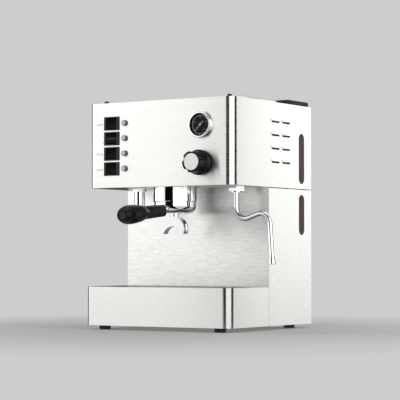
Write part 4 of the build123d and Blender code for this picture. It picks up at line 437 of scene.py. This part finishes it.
# Every finish: the function that makes it, and its values. Hairs, marks, rings and grit are in millimetres.
FINISHES = {
    # Upright sheets: level grain that draws reflections out up and down and keeps them sharp sideways.
    "wall": (brushed_sheet, dict(
        name="Stainless sheet, level brushed", shade="steel", dull="steel_shade",
        hair=(18, 18, 1.5), axis="Z", turn=0.25, gloss=0.27, drag=0.95, depth=0.004)),
    # Level sheets: grain along the width.
    "flat": (brushed_sheet, dict(
        name="Stainless sheet, brushed along the width", shade="steel", dull="steel_shade",
        hair=(18, 1.5, 18), axis="X", turn=0.0, gloss=0.27, drag=0.9, depth=0.006)),
    # Splash panel rubbed by hand with a pad: short scratches that spread reflections both ways. Its steel is
    # paler than the casing's: painted light in the recess.
    "rubbed": (brushed_sheet, dict(
        name="Stainless sheet, rubbed satin", shade="rubbed", dull="rubbed_shade",
        hair=(11, 11, 1.5), axis="Z", turn=0.25, gloss=0.31, drag=0.25, depth=0.03)),
    # Punched grid, tumbled after punching: a dull grey face with no lasting grain. Its grey, darker than bare
    # stainless, is painted shade under the head.
    "tumbled": (brushed_sheet, dict(
        name="Stainless sheet, punched and tumbled", shade="grid", dull="grid_shade",
        hair=(5, 3, 5), axis="X", turn=0.0, gloss=0.43, drag=0.2, depth=0.03)),
    # Mirror bright, black where the studio is dark.
    "chrome": (chrome_plate, dict(name="Chrome plate, buffed", shade="chrome")),
    # Pressed stainless, duller than the casing.
    "pressed": (plain_metal, dict(
        name="Stainless steel, deep drawn", shade="pressed_steel", rough=(0.22, 0.36))),
    # Lamp rings: grey sides that stand off the bright panel.
    "nickel": (plain_metal, dict(name="Brass, dark nickel plated", shade="nickel", rough=(0.24, 0.34))),
    # The knob's cap: fine rings that make the sheen turn with the light.
    "turned": (turned_metal, dict(
        name="Aluminium, faced on a lathe", shade="aluminium", pitch=0.9, node="knob_cap")),
    # A yellow sheen with close tool marks.
    "brass": (warm_metal, dict(name="Brass, machined", shade="brass", mark=1.2, rough=(0.22, 0.38))),
    # A red sheen, smoother than the brass.
    "copper": (warm_metal, dict(name="Copper, drawn tube", shade="copper", mark=2.5, rough=(0.2, 0.34))),
    # Matt black with a dusty bloom.
    "rubber": (moulding, dict(
        name="Nitrile rubber, moulded", shade="rubber", grit=0.8, rough=(0.72, 0.9), depth=0.2)),
    # Milky, with a soft sheen.
    "silicone": (moulding, dict(
        name="Silicone, extruded", shade="silicone", grit=3, rough=(0.4, 0.52), depth=0.05, ior=1.41)),
    # Charcoal from a spark-eroded tool: a fine even grain.
    "housing": (moulding, dict(
        name="Nylon, moulded with fine grain", shade="housing",
        grit=0.7, rough=(0.42, 0.58), depth=0.15, gleam=0.3, ior=1.53)),
    # Black from a polished tool: an even, weak gloss.
    "rocker": (moulding, dict(name="Nylon, moulded smooth", **SMOOTH_NYLON)),
    # The same with a grey line along its ridge.
    "ridged": (ridged_moulding, dict(
        name="Nylon, moulded smooth, paler grey on the ridge",
        ridge="ridge", node="rocker_2", **SMOOTH_NYLON)),
    # A soft gloss over a deep black.
    "phenolic": (moulding, dict(
        name="Phenolic resin, moulded and buffed", shade="phenolic",
        grit=5, rough=(0.24, 0.36), depth=0.04, gleam=0.15, ior=1.6)),
    # Satin charcoal, a little lighter than the handle.
    "plug": (moulding, dict(
        name="Polypropylene, moulded satin", shade="plug",
        grit=1.2, rough=(0.38, 0.5), depth=0.08, gleam=0.3)),
    # Dark grey from an etched tool: a matt top that does not show fingermarks.
    "lid": (moulding, dict(
        name="ABS, moulded with etched grain", shade="lid",
        grit=0.9, rough=(0.5, 0.66), depth=0.2, gleam=0.1, ior=1.54)),
    # Matt black on a metal face.
    "dial": (moulding, dict(
        name="Paint, sprayed matt", shade="dial", grit=0.6, rough=(0.55, 0.7), depth=0.08, gleam=0.25)),
    # Pale grey with a weak gloss, so that the needle stands off the black face.
    "needle": (moulding, dict(
        name="Enamel, sprayed", shade="needle", grit=1.5, rough=(0.4, 0.5), depth=0.04)),
    # Flat pale ink of the gauge's scale.
    "dial_ink": (moulding, dict(name="Ink, pad printed grey", shade="dial_ink", **INK)),
    # Flat dark grey ink of the switch marks.
    "label_ink": (moulding, dict(name="Ink, screen printed grey", shade="label_ink", **INK)),
    # Water-clear tub with a faint haze from its tool.
    "tank": (clear_moulding, dict(
        name="SAN, clear moulded", shade="tank", ior=1.57, through=0.9, rough=(0.06, 0.14))),
    # Brown in the mass, with a soft face.
    "window": (clear_moulding, dict(
        name="Acrylic, smoked", shade="window", ior=1.49, through=0.15, rough=(0.25, 0.35), gleam=0.1)),
    # Lenses over unlit lamps: milky white all through, with a glossy face.
    "lens": (clear_moulding, dict(
        name="Polycarbonate, opal moulded", shade="lens", ior=1.58, through=0.1, rough=(0.12, 0.2))),
    # Bloomed against glare, so that the black face behind it stays black.
    "glass": (clear_moulding, dict(
        name="Mineral glass, bloomed", shade="glass", ior=1.1, through=1.0, rough=(0.0, 0.02))),
}


def finish(key):
    """The material of a finish, made when it is first asked for."""
    make, values = FINISHES[key]
    return bpy.data.materials.get(values["name"]) or make(**values)


def finish_nodes(key, *names):
    """Give CAD nodes their finish, through their own material slots."""
    material = finish(key)
    for name in names:
        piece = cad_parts[name]
        if not piece.material_slots:
            piece.data.materials.append(material)
        for slot in piece.material_slots:
            slot.material = material


def begin():
    """Back to object mode with nothing selected, so that an operator acts only on the new shape."""
    if bpy.context.object and bpy.context.object.mode != "OBJECT":
        bpy.ops.object.mode_set(mode="OBJECT")
    bpy.ops.object.select_all(action="DESELECT")


def take(*pieces):
    """Select pieces alone, the first one as the active piece."""
    begin()
    for piece in pieces:
        piece.select_set(True)
    bpy.context.view_layer.objects.active = pieces[0]


def facing(way):
    """A test for faces that point a given way."""
    return lambda place, normal: normal.dot(way) > SQUARE_ON


def pick(test):
    """In edit mode, select only the faces whose middle and normal pass a test."""
    piece = bpy.context.object
    bpy.ops.object.mode_set(mode="EDIT")
    bpy.ops.mesh.select_mode(type="FACE")
    bpy.ops.mesh.select_all(action="DESELECT")
    place = piece.matrix_world
    faces = bmesh.from_edit_mesh(piece.data).faces
    chosen = [face for face in faces if test(place @ face.calc_center_median(), face.normal)]
    if not chosen:
        raise RuntimeError("no face to shape on " + piece.name)
    for face in chosen:
        face.select_set(True)
    bmesh.update_edit_mesh(piece.data)


def pick_all():
    """In edit mode, select the whole shape."""
    bpy.ops.object.mode_set(mode="EDIT")
    bpy.ops.mesh.select_all(action="SELECT")


def fix_place():
    """Put the active shape's place, turn and scale into its mesh."""
    bpy.ops.object.transform_apply(location=True, rotation=True, scale=True)


def settle(name):
    """Leave edit mode, put the shape's place into its mesh and name it."""
    piece = bpy.context.object
    bpy.ops.object.mode_set(mode="OBJECT")
    fix_place()
    piece.name = piece.data.name = name
    return piece


def copy_of(piece, move):
    """Another of the same shape with its own mesh, moved by a matrix."""
    twin = piece.copy()
    twin.data = piece.data.copy()
    twin.data.transform(move)
    bpy.context.collection.objects.link(twin)
    return twin


def turned(centre, size, axis):
    """A turn about an axis through a point."""
    about = Matrix.Translation(centre)
    return about @ Matrix.Rotation(size, 4, axis) @ about.inverted()


def joined(pieces, name):
    """Like shapes as one piece."""
    take(*pieces)
    if len(pieces) > 1:
        bpy.ops.object.join()
    whole = bpy.context.object
    whole.name = whole.data.name = name
    return whole


def apply(piece, change):
    """Apply one of a piece's modifiers."""
    take(piece)
    bpy.ops.object.modifier_apply(modifier=change.name)


def carve(piece, tool, how="DIFFERENCE"):
    """Cut a tool's shape out of a piece, or join it on, and take the tool away."""
    change = piece.modifiers.new("carve", "BOOLEAN")
    change.operation, change.object, change.solver, change.use_self = how, tool, "EXACT", True
    apply(piece, change)
    bpy.data.objects.remove(tool)


def round_edges(piece, size):
    """Round the sharp edges, and shade the rest smooth."""
    take(piece)
    bpy.ops.object.shade_smooth_by_angle(angle=SHARP)
    bevel = piece.modifiers.new("edges", "BEVEL")
    bevel.width, bevel.segments, bevel.harden_normals = size, 3, True
    bevel.limit_method, bevel.angle_limit = "ANGLE", SHARP
    apply(piece, bevel)


def belongs(piece, key, body):
    """Finish a new piece, and make it ride on a body."""
    piece.data.materials.clear()
    piece.data.materials.append(finish(key))
    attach(piece, body)
    return piece


def printed_word(word, size, place, align, ink):
    """A word or number in flat print that faces the front."""
    begin()
    bpy.ops.object.text_add(location=place, rotation=UPRIGHT)
    text = bpy.context.object.data
    text.body, text.size, text.extrude, text.resolution_u = word, size, ink / 2, 3
    text.align_x, text.align_y = align, "CENTER"
    bpy.ops.object.convert(target="MESH")
    fix_place()
    return bpy.context.object


class ESPRESSO_OT_casing(bpy.types.Operator):
    """Finish the folded sheets, feet, rails and mains inlet"""
    bl_idname = "espresso.casing"
    bl_label = "Casing"

    def execute(self, context):
        sheets = ("head_wrap", "lower_side_left", "lower_side_right", "back_panel", "tank_bulkhead")
        finish_nodes("wall", *sheets)
        finish_nodes("rubbed", "splash_panel")
        finish_nodes("flat", "head_floor", "top_plate", "base_pan", "cup_rails")
        finish_nodes("rubber", "rubber_feet")
        finish_nodes("housing", "rail_end_caps", "mains_inlet")
        return {"FINISHED"}


class ESPRESSO_OT_screws(bpy.types.Operator):
    """Make the cross-head screws of the back panel and the feet"""
    bl_idname = "espresso.screws"
    bl_label = "Cross-head screws"

    def head(self, radius, height, sizes):
        """A domed head with a cross recess, facing up from the origin."""
        begin()
        bpy.ops.mesh.primitive_cylinder_add(vertices=40, radius=radius, depth=height,
                                            location=UP * height / 2)
        pick(facing(UP))
        bpy.ops.mesh.bevel(offset=height * sizes.dome, segments=5, profile=0.5, affect="EDGES")
        screw = settle("screw head")
        begin()
        bpy.ops.mesh.primitive_cube_add(size=1, location=(0, 0, height),
                                        scale=(radius * sizes.arms, sizes.cross, 2 * sizes.depth))
        pick(facing(DOWN))
        bpy.ops.transform.resize(value=(sizes.arm_taper, sizes.slot_taper, 1))
        arm = settle("cross arm")
        carve(screw, joined([arm, copy_of(arm, Matrix.Rotation(math.pi / 2, 4, "Z"))], "cross"))
        return screw

    def screw(self, radius, height, shank, reach, sizes):
        """A head with its shank below."""
        head = self.head(radius, height, sizes)
        begin()
        bpy.ops.mesh.primitive_cylinder_add(vertices=24, radius=shank, depth=reach, location=DOWN * reach / 2)
        pick(facing(DOWN))
        bpy.ops.mesh.inset(thickness=shank * sizes.tip_edge, depth=0)
        bpy.ops.transform.translate(value=(0, 0, -shank * sizes.tip_length))
        return joined([head, settle("shank")], "screw")

    def execute(self, context):
        sizes = context.scene.espresso_screws
        (left, _, low), (right, back, high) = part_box("back_panel")
        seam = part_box("head_wrap")[0].z
        screws = []
        screw = self.screw(sizes.head, sizes.height, sizes.shank, sizes.reach, sizes)
        turn = Matrix.Rotation(-math.pi / 2, 4, "X")
        for x in (left + sizes.flange, right - sizes.flange):
            for z in (low + sizes.bottom, seam - sizes.seam, high - sizes.top):
                screws.append(copy_of(screw, Matrix.Translation((x, back, z)) @ turn))
        bpy.data.objects.remove(screw)
        seat, radius = sizes.foot_seat, sizes.foot_radius
        reach = low + sizes.foot_tip - seat
        screw = self.screw(sizes.foot_head, sizes.foot_height, sizes.foot_shank, reach, sizes)
        turn = Matrix.Rotation(math.pi, 4, "X")
        foot_low, foot_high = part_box("rubber_feet")
        for x in (foot_low.x + radius, foot_high.x - radius):
            for y in (foot_low.y + radius, foot_high.y - radius):
                screws.append(copy_of(screw, Matrix.Translation((x, y, seat)) @ turn))
        bpy.data.objects.remove(screw)
        piece = belongs(joined(screws, "cross_head_screws"), "pressed", "casing")
        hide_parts("casing_screws")
        return {"FINISHED"}


class ESPRESSO_OT_inlet_pins(bpy.types.Operator):
    """Make the three bright blades in the mains inlet"""
    bl_idname = "espresso.inlet_pins"
    bl_label = "Inlet pins"

    def execute(self, context):
        sizes = context.scene.espresso_inlet
        low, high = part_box("mains_inlet")
        middle = middle_of("mains_inlet")
        root, end = low.y + sizes.root, high.y - sizes.mouth
        begin()
        bpy.ops.mesh.primitive_cube_add(size=1, location=(0, (root + end) / 2, 0),
                                        scale=(sizes.width, end - root, sizes.height))
        pick(facing(BACK))
        bpy.ops.mesh.bevel(offset=sizes.edge, segments=3, affect="EDGES")
        blade = settle("blade")
        spots = ((-sizes.pitch, -sizes.drop), (sizes.pitch, -sizes.drop), (0.0, sizes.rise))
        blades = [copy_of(blade, Matrix.Translation((middle.x + x, 0, middle.z + z))) for x, z in spots]
        bpy.data.objects.remove(blade)
        belongs(joined(blades, "inlet_blades"), "chrome", "casing")
        return {"FINISHED"}


class ESPRESSO_OT_switches(bpy.types.Operator):
    """Finish the rocker switches and print their marks"""
    bl_idname = "espresso.switches"
    bl_label = "Switches"

    def execute(self, context):
        finish_nodes("housing", "switch_housings")
        finish_nodes("rocker", "rocker_1", "rocker_3", "rocker_4")
        finish_nodes("ridged", "rocker_2")
        marks = context.scene.espresso_marks
        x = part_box("switch_housings")[0].x - marks.label_gap
        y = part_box("head_wrap")[0].y - marks.ink / 2
        prints = []
        for rocker, word, rise in SWITCH_WORDS:
            place = (x, y, middle_of(rocker).z + rise * MM)
            prints.append(printed_word(word, marks.label, place, "RIGHT", marks.ink))
        belongs(joined(prints, "switch_marks"), "label_ink", "casing")
        return {"FINISHED"}


class ESPRESSO_OT_lamps(bpy.types.Operator):
    """Finish the lamp rings and lenses"""
    bl_idname = "espresso.lamps"
    bl_label = "Lamps"

    def execute(self, context):
        finish_nodes("nickel", "lamp_bezels")
        finish_nodes("lens", "lamp_lenses")
        return {"FINISHED"}


class ESPRESSO_OT_gauge(bpy.types.Operator):
    """Finish the pressure gauge and print its scale"""
    bl_idname = "espresso.gauge"
    bl_label = "Pressure gauge"

    def ring(self, centre, marks):
        """The scale's circle."""
        begin()
        bpy.ops.mesh.primitive_circle_add(vertices=96, radius=marks.scale_radius, fill_type="NGON",
                                          location=centre, rotation=UPRIGHT)
        pick_all()
        bpy.ops.mesh.inset(thickness=marks.scale_line, depth=0)
        bpy.ops.mesh.delete(type="FACE")
        circle = settle("scale circle")
        body = circle.modifiers.new("ink", "SOLIDIFY")
        body.thickness, body.offset = marks.ink, 0
        apply(circle, body)
        return circle

    def tick(self, centre, marks, reach):
        """One division at the top of the scale, a little narrower at its inner end."""
        begin()
        middle = centre + (marks.scale_radius - reach / 2) * UP
        bpy.ops.mesh.primitive_cube_add(size=1, location=middle, scale=(marks.tick_width, marks.ink, reach))
        pick(facing(DOWN))
        bpy.ops.transform.resize(value=(marks.tick_taper, 1, 1))
        return settle("tick")

    def execute(self, context):
        finish_nodes("chrome", "gauge_case")
        finish_nodes("dial", "gauge_dial")
        finish_nodes("needle", "gauge_needle")
        finish_nodes("glass", "gauge_glass")
        marks = context.scene.espresso_marks
        centre = middle_of("gauge_dial")
        centre.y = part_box("gauge_dial")[0].y - marks.ink / 2
        short, long = self.tick(centre, marks, marks.tick), self.tick(centre, marks, marks.long_tick)
        prints = [self.ring(centre, marks)]
        reach = marks.scale_radius - marks.long_tick - marks.numeral_drop
        for step in range(marks.divisions + 1):
            place = marks.zero - marks.sweep * step / marks.divisions
            numbered = step % marks.numbered == 0
            prints.append(copy_of(long if numbered else short, turned(centre, math.pi / 2 - place, "Y")))
            if numbered:
                spot = centre + reach * Vector((math.cos(place), 0, math.sin(place)))
                prints.append(printed_word(str(step), marks.numeral, spot, "CENTER", marks.ink))
        bpy.data.objects.remove(short)
        bpy.data.objects.remove(long)
        belongs(joined(prints, "gauge_scale"), "dial_ink", "casing")
        return {"FINISHED"}


class ESPRESSO_OT_steam_knob(bpy.types.Operator):
    """Make the lobed grip of the steam knob, and finish its cap and valve"""
    bl_idname = "espresso.steam_knob"
    bl_label = "Steam knob"

    def drawn(self, move, ratio=1):
        """Draw the selected end along the axis to a new ring."""
        bpy.ops.mesh.extrude_region_move(TRANSFORM_OT_translate={"value": (0, move, 0)})
        if ratio != 1:
            bpy.ops.transform.resize(value=(ratio, 1, ratio))

    def blank(self, sizes):
        """Grip before its flutes are cut: skirt, flare, nose with a seat for the cap, and a bore behind."""
        low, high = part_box("knob_body")
        middle = middle_of("knob_body")
        skirt = (high.x - low.x) / 2
        begin()
        bpy.ops.mesh.primitive_cylinder_add(vertices=120, radius=skirt, depth=sizes.skirt, rotation=UPRIGHT,
                                            location=(middle.x, high.y - sizes.skirt / 2, middle.z))
        fix_place()
        pick(facing(FRONT))
        radius = skirt
        for step in range(1, sizes.rings + 1):
            swell = (skirt - sizes.grip) * (1 - step / sizes.rings) ** 2
            self.drawn(-sizes.flare / sizes.rings, (sizes.grip + swell) / radius)
            radius = sizes.grip + swell
        self.drawn(low.y + sizes.flare + sizes.skirt - high.y)
        cap_low, cap_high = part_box("knob_cap")
        bpy.ops.mesh.inset(thickness=sizes.grip - (cap_high.x - cap_low.x) / 2 - sizes.fit, depth=0)
        self.drawn(cap_high.y - low.y)
        spindle_low, spindle_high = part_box("valve_spindle")
        pick(facing(BACK))
        bpy.ops.mesh.inset(thickness=skirt - (spindle_high.x - spindle_low.x) / 2 - sizes.fit, depth=0)
        self.drawn(spindle_low.y - high.y)
        return settle("knob_grip")

    def flutes(self, sizes):
        """Round-ended cutters about the knob's axis."""
        middle = middle_of("knob_body")
        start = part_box("knob_body")[0].y - sizes.over
        reach = sizes.reach + sizes.over
        place = (middle.x + sizes.floor + sizes.flute, start + reach / 2, middle.z)
        begin()
        bpy.ops.mesh.primitive_cylinder_add(vertices=48, radius=sizes.flute, depth=reach, rotation=UPRIGHT,
                                            location=place)
        fix_place()
        pick(facing(BACK))
        bpy.ops.mesh.bevel(offset=sizes.flute_end * sizes.flute, segments=8, profile=0.5, affect="EDGES")
        cutter = settle("flute")
        turns = [sizes.first + 2 * math.pi * number / sizes.flutes for number in range(sizes.flutes)]
        cutters = [copy_of(cutter, turned(middle, -turn, "Y")) for turn in turns]
        bpy.data.objects.remove(cutter)
        return joined(cutters, "flutes")

    def execute(self, context):
        sizes = context.scene.espresso_knob
        knob = self.blank(sizes)
        carve(knob, self.flutes(sizes))
        round_edges(knob, sizes.edge)
        belongs(knob, "phenolic", "knob")
        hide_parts("knob_body")
        finish_nodes("phenolic", "knob_body")
        finish_nodes("turned", "knob_cap")
        finish_nodes("brass", "valve_spindle", "valve_body")
        return {"FINISHED"}


class ESPRESSO_OT_brew_group(bpy.types.Operator):
    """Finish the brew group"""
    bl_idname = "espresso.brew_group"
    bl_label = "Brew group"

    def execute(self, context):
        finish_nodes("chrome", "group_bell")
        finish_nodes("brass", "group_block", "bayonet_ring")
        finish_nodes("pressed", "shower_screen")
        finish_nodes("rubber", "group_gasket")
        return {"FINISHED"}


class ESPRESSO_OT_portafilter(bpy.types.Operator):
    """Finish the portafilter, its basket and handle"""
    bl_idname = "espresso.portafilter"
    bl_label = "Portafilter"

    def execute(self, context):
        finish_nodes("chrome", "portafilter_bowl", "handle_ferrule")
        finish_nodes("pressed", "filter_basket")
        finish_nodes("phenolic", "handle_grip")
        finish_nodes("plug", "handle_plug")
        return {"FINISHED"}


class ESPRESSO_OT_twin_spout(bpy.types.Operator):
    """Make the twin spout under the portafilter: a crescent with thin tips"""
    bl_idname = "espresso.twin_spout"
    bl_label = "Twin spout"

    def bar(self, radius, width, height):
        """A round bar from front to back, its axis at a height above the tips."""
        begin()
        bpy.ops.mesh.primitive_cylinder_add(vertices=120, radius=radius, depth=width, location=(0, 0, height),
                                            rotation=UPRIGHT)
        return settle("bar")

    def crescent(self, sizes, crown):
        """The round back cut off at the tips, arched below and channelled above."""
        axis = crown - sizes.back
        self.bar(sizes.back, sizes.width, axis)
        pick_all()
        bpy.ops.mesh.bisect(plane_co=(0, 0, 0), plane_no=UP, use_fill=True, clear_inner=True)
        spout = settle("twin_spout_casting")
        carve(spout, self.bar(sizes.arch, 2 * sizes.width, sizes.rise - sizes.arch))
        groove = self.bar(sizes.back + sizes.depth, sizes.channel, axis)
        carve(groove, self.bar(sizes.back - sizes.depth, 2 * sizes.channel, axis))
        carve(spout, groove)
        return spout

    def execute(self, context):
        sizes = context.scene.espresso_spout
        low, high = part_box("twin_spout")
        tall = high.z - low.z
        spout = self.crescent(sizes, tall - sizes.neck)
        begin()
        boss_depth = sizes.neck + sizes.rise / 2
        bpy.ops.mesh.primitive_cylinder_add(vertices=64, radius=sizes.boss, depth=boss_depth,
                                            location=(0, 0, tall - boss_depth / 2))
        carve(spout, settle("boss"), "UNION")
        round_edges(spout, sizes.edge)
        group, plug = middle_of("group_bell"), middle_of("handle_plug")
        turn = math.atan2(plug.x - group.x, group.y - plug.y)
        spout.data.transform(Matrix.Translation((group.x, group.y, low.z)) @ Matrix.Rotation(turn, 4, "Z"))
        finish_nodes("chrome", "twin_spout")
        belongs(spout, "chrome", "portafilter")
        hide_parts("twin_spout")
        return {"FINISHED"}


class ESPRESSO_OT_outlets(bpy.types.Operator):
    """Finish the steam wand and the hot-water outlet"""
    bl_idname = "espresso.outlets"
    bl_label = "Outlets"

    def execute(self, context):
        finish_nodes("chrome", "wand_socket", "steam_wand", "wand_tip", "hot_water_outlet")
        return {"FINISHED"}


class ESPRESSO_OT_drip_drawer(bpy.types.Operator):
    """Finish the drip drawer and its grid"""
    bl_idname = "espresso.drip_drawer"
    bl_label = "Drip drawer"

    def execute(self, context):
        finish_nodes("wall", "tray_fascia")
        finish_nodes("tumbled", "drip_grid")
        finish_nodes("housing", "drip_tub")
        return {"FINISHED"}


class ESPRESSO_OT_water(bpy.types.Operator):
    """Finish the water tank, its lid and the level windows"""
    bl_idname = "espresso.water"
    bl_label = "Water tank"

    def execute(self, context):
        finish_nodes("tank", "water_tank")
        finish_nodes("lid", "tank_lid")
        finish_nodes("pressed", "lid_pins")
        finish_nodes("window", "level_windows")
        return {"FINISHED"}


class ESPRESSO_OT_inner_works(bpy.types.Operator):
    """Finish the boiler, pump, valves, hose and pipes"""
    bl_idname = "espresso.inner_works"
    bl_label = "Inner works"

    def execute(self, context):
        finish_nodes("brass", "boiler", "solenoid_valve")
        finish_nodes("copper", "copper_pipes")
        finish_nodes("pressed", "heating_element", "pump_bracket", "casing_screws")
        finish_nodes("housing", "pump", "thermostat")
        finish_nodes("rubber", "pump_mounts")
        finish_nodes("silicone", "suction_hose")
        return {"FINISHED"}


class ESPRESSO_OT_stage(bpy.types.Operator):
    """Set up the floor, the soft panels, the black cards and cloths, and the camera"""
    bl_idname = "espresso.stage"
    bl_label = "Stage"

    def floor(self, sets):
        """A wide pale floor that fades into the background and keeps the machine's shadow. Its darker grey
        near the machine is painted shade.
        """
        begin()
        bpy.ops.mesh.primitive_circle_add(vertices=96, radius=sets.floor_size, fill_type="NGON")
        pick_all()
        bpy.ops.mesh.inset(thickness=sets.floor_size - sets.floor_middle, depth=0)
        ground = settle("floor")
        plain = {"Base Color": opaque(sets.floor), "Roughness": 0.9, "Specular IOR Level": 0.1}
        material, tree, shader, place = coating("Paper, matt grey", plain)
        reach = add(tree, "VectorMath", {0: place}, out="Value", operation="LENGTH")
        fade = add(tree, "MapRange",
                   {"Value": reach, "From Min": sets.fade_start, "From Max": sets.fade_end},
                   interpolation_type="SMOOTHSTEP")
        mirrored = add(tree, "LightPath", {}, out="Is Glossy Ray")
        part = add(tree, "Math", {0: fade, 1: mirrored}, operation="MAXIMUM")
        glow = add(tree, "Emission", {"Color": opaque(sets.ground), "Strength": 1.0})
        mixed = add(tree, "MixShader", {0: part, 1: shader.outputs[0], 2: glow})
        feed(tree, tree.nodes["Material Output"], {"Surface": mixed})
        ground.data.materials.append(material)

    def upright(self, start, end, distance, sets):
        """Place, turn and width of an upright board between two angles."""
        turn = math.radians((start + end) / 2)
        width = 2 * distance * math.tan(math.radians(end - start) / 2)
        place = Vector((distance * math.sin(turn), -distance * math.cos(turn), 0))
        place.z = sets.board_height / 2 - sets.board_drop
        return self.middle + place, (math.pi / 2, 0, turn), width

    def panel(self, name, start, end, part, sets):
        """A tall soft panel between two angles."""
        begin()
        place, turn, width = self.upright(start, end, sets.panel_distance, sets)
        bpy.ops.object.light_add(type="AREA", location=place, rotation=turn)
        lamp = bpy.context.object
        lamp.name = name
        lamp.data.shape, lamp.data.size, lamp.data.size_y = "RECTANGLE", width, sets.board_height
        lamp.data.energy = part * sets.panel_light * width * sets.board_height
        lamp.visible_camera = False

    def top_panel(self, sets):
        """A square soft panel above the machine."""
        begin()
        bpy.ops.object.light_add(type="AREA", location=self.middle + sets.top_height * UP)
        lamp = bpy.context.object
        lamp.name = "top panel"
        lamp.data.size, lamp.data.energy = sets.top_size, sets.top_light
        lamp.visible_camera = False

    def card(self, name, start, end, sets):
        """A tall black card between two angles, that only glossy surfaces see."""
        begin()
        place, turn, width = self.upright(start, end, sets.card_distance, sets)
        bpy.ops.mesh.primitive_plane_add(size=1, location=place, rotation=turn)
        bpy.context.object.scale = (width, sets.board_height, 1)
        self.blacken(settle(name), sets)

    def cloth(self, name, side, start, end, sets):
        """A black cloth on the floor that fans out from one of the drawer's corners.

        Only glossy surfaces see it. It edges the rounded corners, and the flat sides stay clear of it.
        """
        low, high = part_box("tray_fascia")
        corner = Vector((high.x if side == "right" else low.x, low.y, sets.cloth_lift))
        begin()
        bpy.ops.mesh.primitive_circle_add(vertices=360, radius=sets.card_distance, fill_type="TRIFAN",
                                          location=corner)

        def outside(place, normal):
            return not start < math.degrees(math.atan2(place.x - corner.x, corner.y - place.y)) < end

        pick(outside)
        bpy.ops.mesh.delete(type="FACE")
        self.blacken(settle(name), sets)

    def blacken(self, board, sets):
        """Matt black that the camera, the shadows and dull surfaces do not see."""
        name = "Card, matt black"
        plain = {"Base Color": opaque(sets.card), "Roughness": 1.0, "Specular IOR Level": 0.0}
        board.data.materials.append(bpy.data.materials.get(name) or coating(name, plain)[0])
        board.visible_camera = board.visible_diffuse = board.visible_shadow = False

    def camera(self, sets):
        """The camera, at the photograph's angle."""
        begin()
        place = self.middle + Vector(sets.camera_place)
        aim = Vector(sets.camera_aim) - Vector(sets.camera_place)
        bpy.ops.object.camera_add(location=place, rotation=aim.to_track_quat("-Z", "Y").to_euler())
        camera = bpy.context.object
        camera.data.sensor_width, camera.data.lens, camera.data.clip_end = sets.sensor, sets.lens, sets.sight
        return camera

    def execute(self, context):
        scene = context.scene
        sets = scene.espresso_stage
        self.middle = middle_of("head_wrap")
        self.middle.z = 0
        self.floor(sets)
        for panel in PANELS:
            self.panel(*panel, sets)
        self.top_panel(sets)
        for card in CARDS:
            self.card(*card, sets)
        for cloth in CLOTHS:
            self.cloth(*cloth, sets)
        world = bpy.data.worlds.new("studio")
        world.use_nodes = True
        tree = world.node_tree
        feed(tree, tree.nodes["Background"], {"Color": opaque(sets.ground), "Strength": 1.0})
        scene.world = world
        scene.camera = self.camera(sets)
        scene.view_settings.view_transform = "Standard"
        return {"FINISHED"}


class ESPRESSO_PT_sidebar(bpy.types.Panel):
    """Steps that finish the espresso machine"""
    bl_label = "Espresso machine"
    bl_idname = "ESPRESSO_PT_sidebar"
    bl_space_type = "VIEW_3D"
    bl_region_type = "UI"
    bl_category = "Espresso"

    def draw(self, context):
        for step in STEPS:
            self.layout.operator(step.bl_idname)
        for name, group in GROUPS.items():
            box = self.layout.box()
            for setting in group.__annotations__:
                box.prop(getattr(context.scene, name), setting)


GROUPS = {
    "espresso_finishes": FinishSettings,
    "espresso_marks": MarkSettings,
    "espresso_screws": ScrewSettings,
    "espresso_inlet": InletSettings,
    "espresso_knob": KnobSettings,
    "espresso_spout": SpoutSettings,
    "espresso_stage": StageSettings,
}
STEPS = (
    ESPRESSO_OT_casing, ESPRESSO_OT_screws, ESPRESSO_OT_inlet_pins, ESPRESSO_OT_switches, ESPRESSO_OT_lamps,
    ESPRESSO_OT_gauge, ESPRESSO_OT_steam_knob, ESPRESSO_OT_brew_group, ESPRESSO_OT_portafilter,
    ESPRESSO_OT_twin_spout, ESPRESSO_OT_outlets, ESPRESSO_OT_drip_drawer, ESPRESSO_OT_water,
    ESPRESSO_OT_inner_works, ESPRESSO_OT_stage,
)


def register():
    """Register the settings, the steps and the sidebar."""
    for name, group in GROUPS.items():
        bpy.utils.register_class(group)
        setattr(bpy.types.Scene, name, PointerProperty(type=group))
    for kind in (*STEPS, ESPRESSO_PT_sidebar):
        bpy.utils.register_class(kind)


def unregister():
    """Take away what register added."""
    for kind in (ESPRESSO_PT_sidebar, *reversed(STEPS)):
        bpy.utils.unregister_class(kind)
    for name, group in GROUPS.items():
        delattr(bpy.types.Scene, name)
        bpy.utils.unregister_class(group)


def main():
    """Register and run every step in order."""
    register()
    bpy.ops.espresso.casing()
    bpy.ops.espresso.screws()
    bpy.ops.espresso.inlet_pins()
    bpy.ops.espresso.switches()
    bpy.ops.espresso.lamps()
    bpy.ops.espresso.gauge()
    bpy.ops.espresso.steam_knob()
    bpy.ops.espresso.brew_group()
    bpy.ops.espresso.portafilter()
    bpy.ops.espresso.twin_spout()
    bpy.ops.espresso.outlets()
    bpy.ops.espresso.drip_drawer()
    bpy.ops.espresso.water()
    bpy.ops.espresso.inner_works()
    bpy.ops.espresso.stage()


if __name__ == "__main__":
    main()
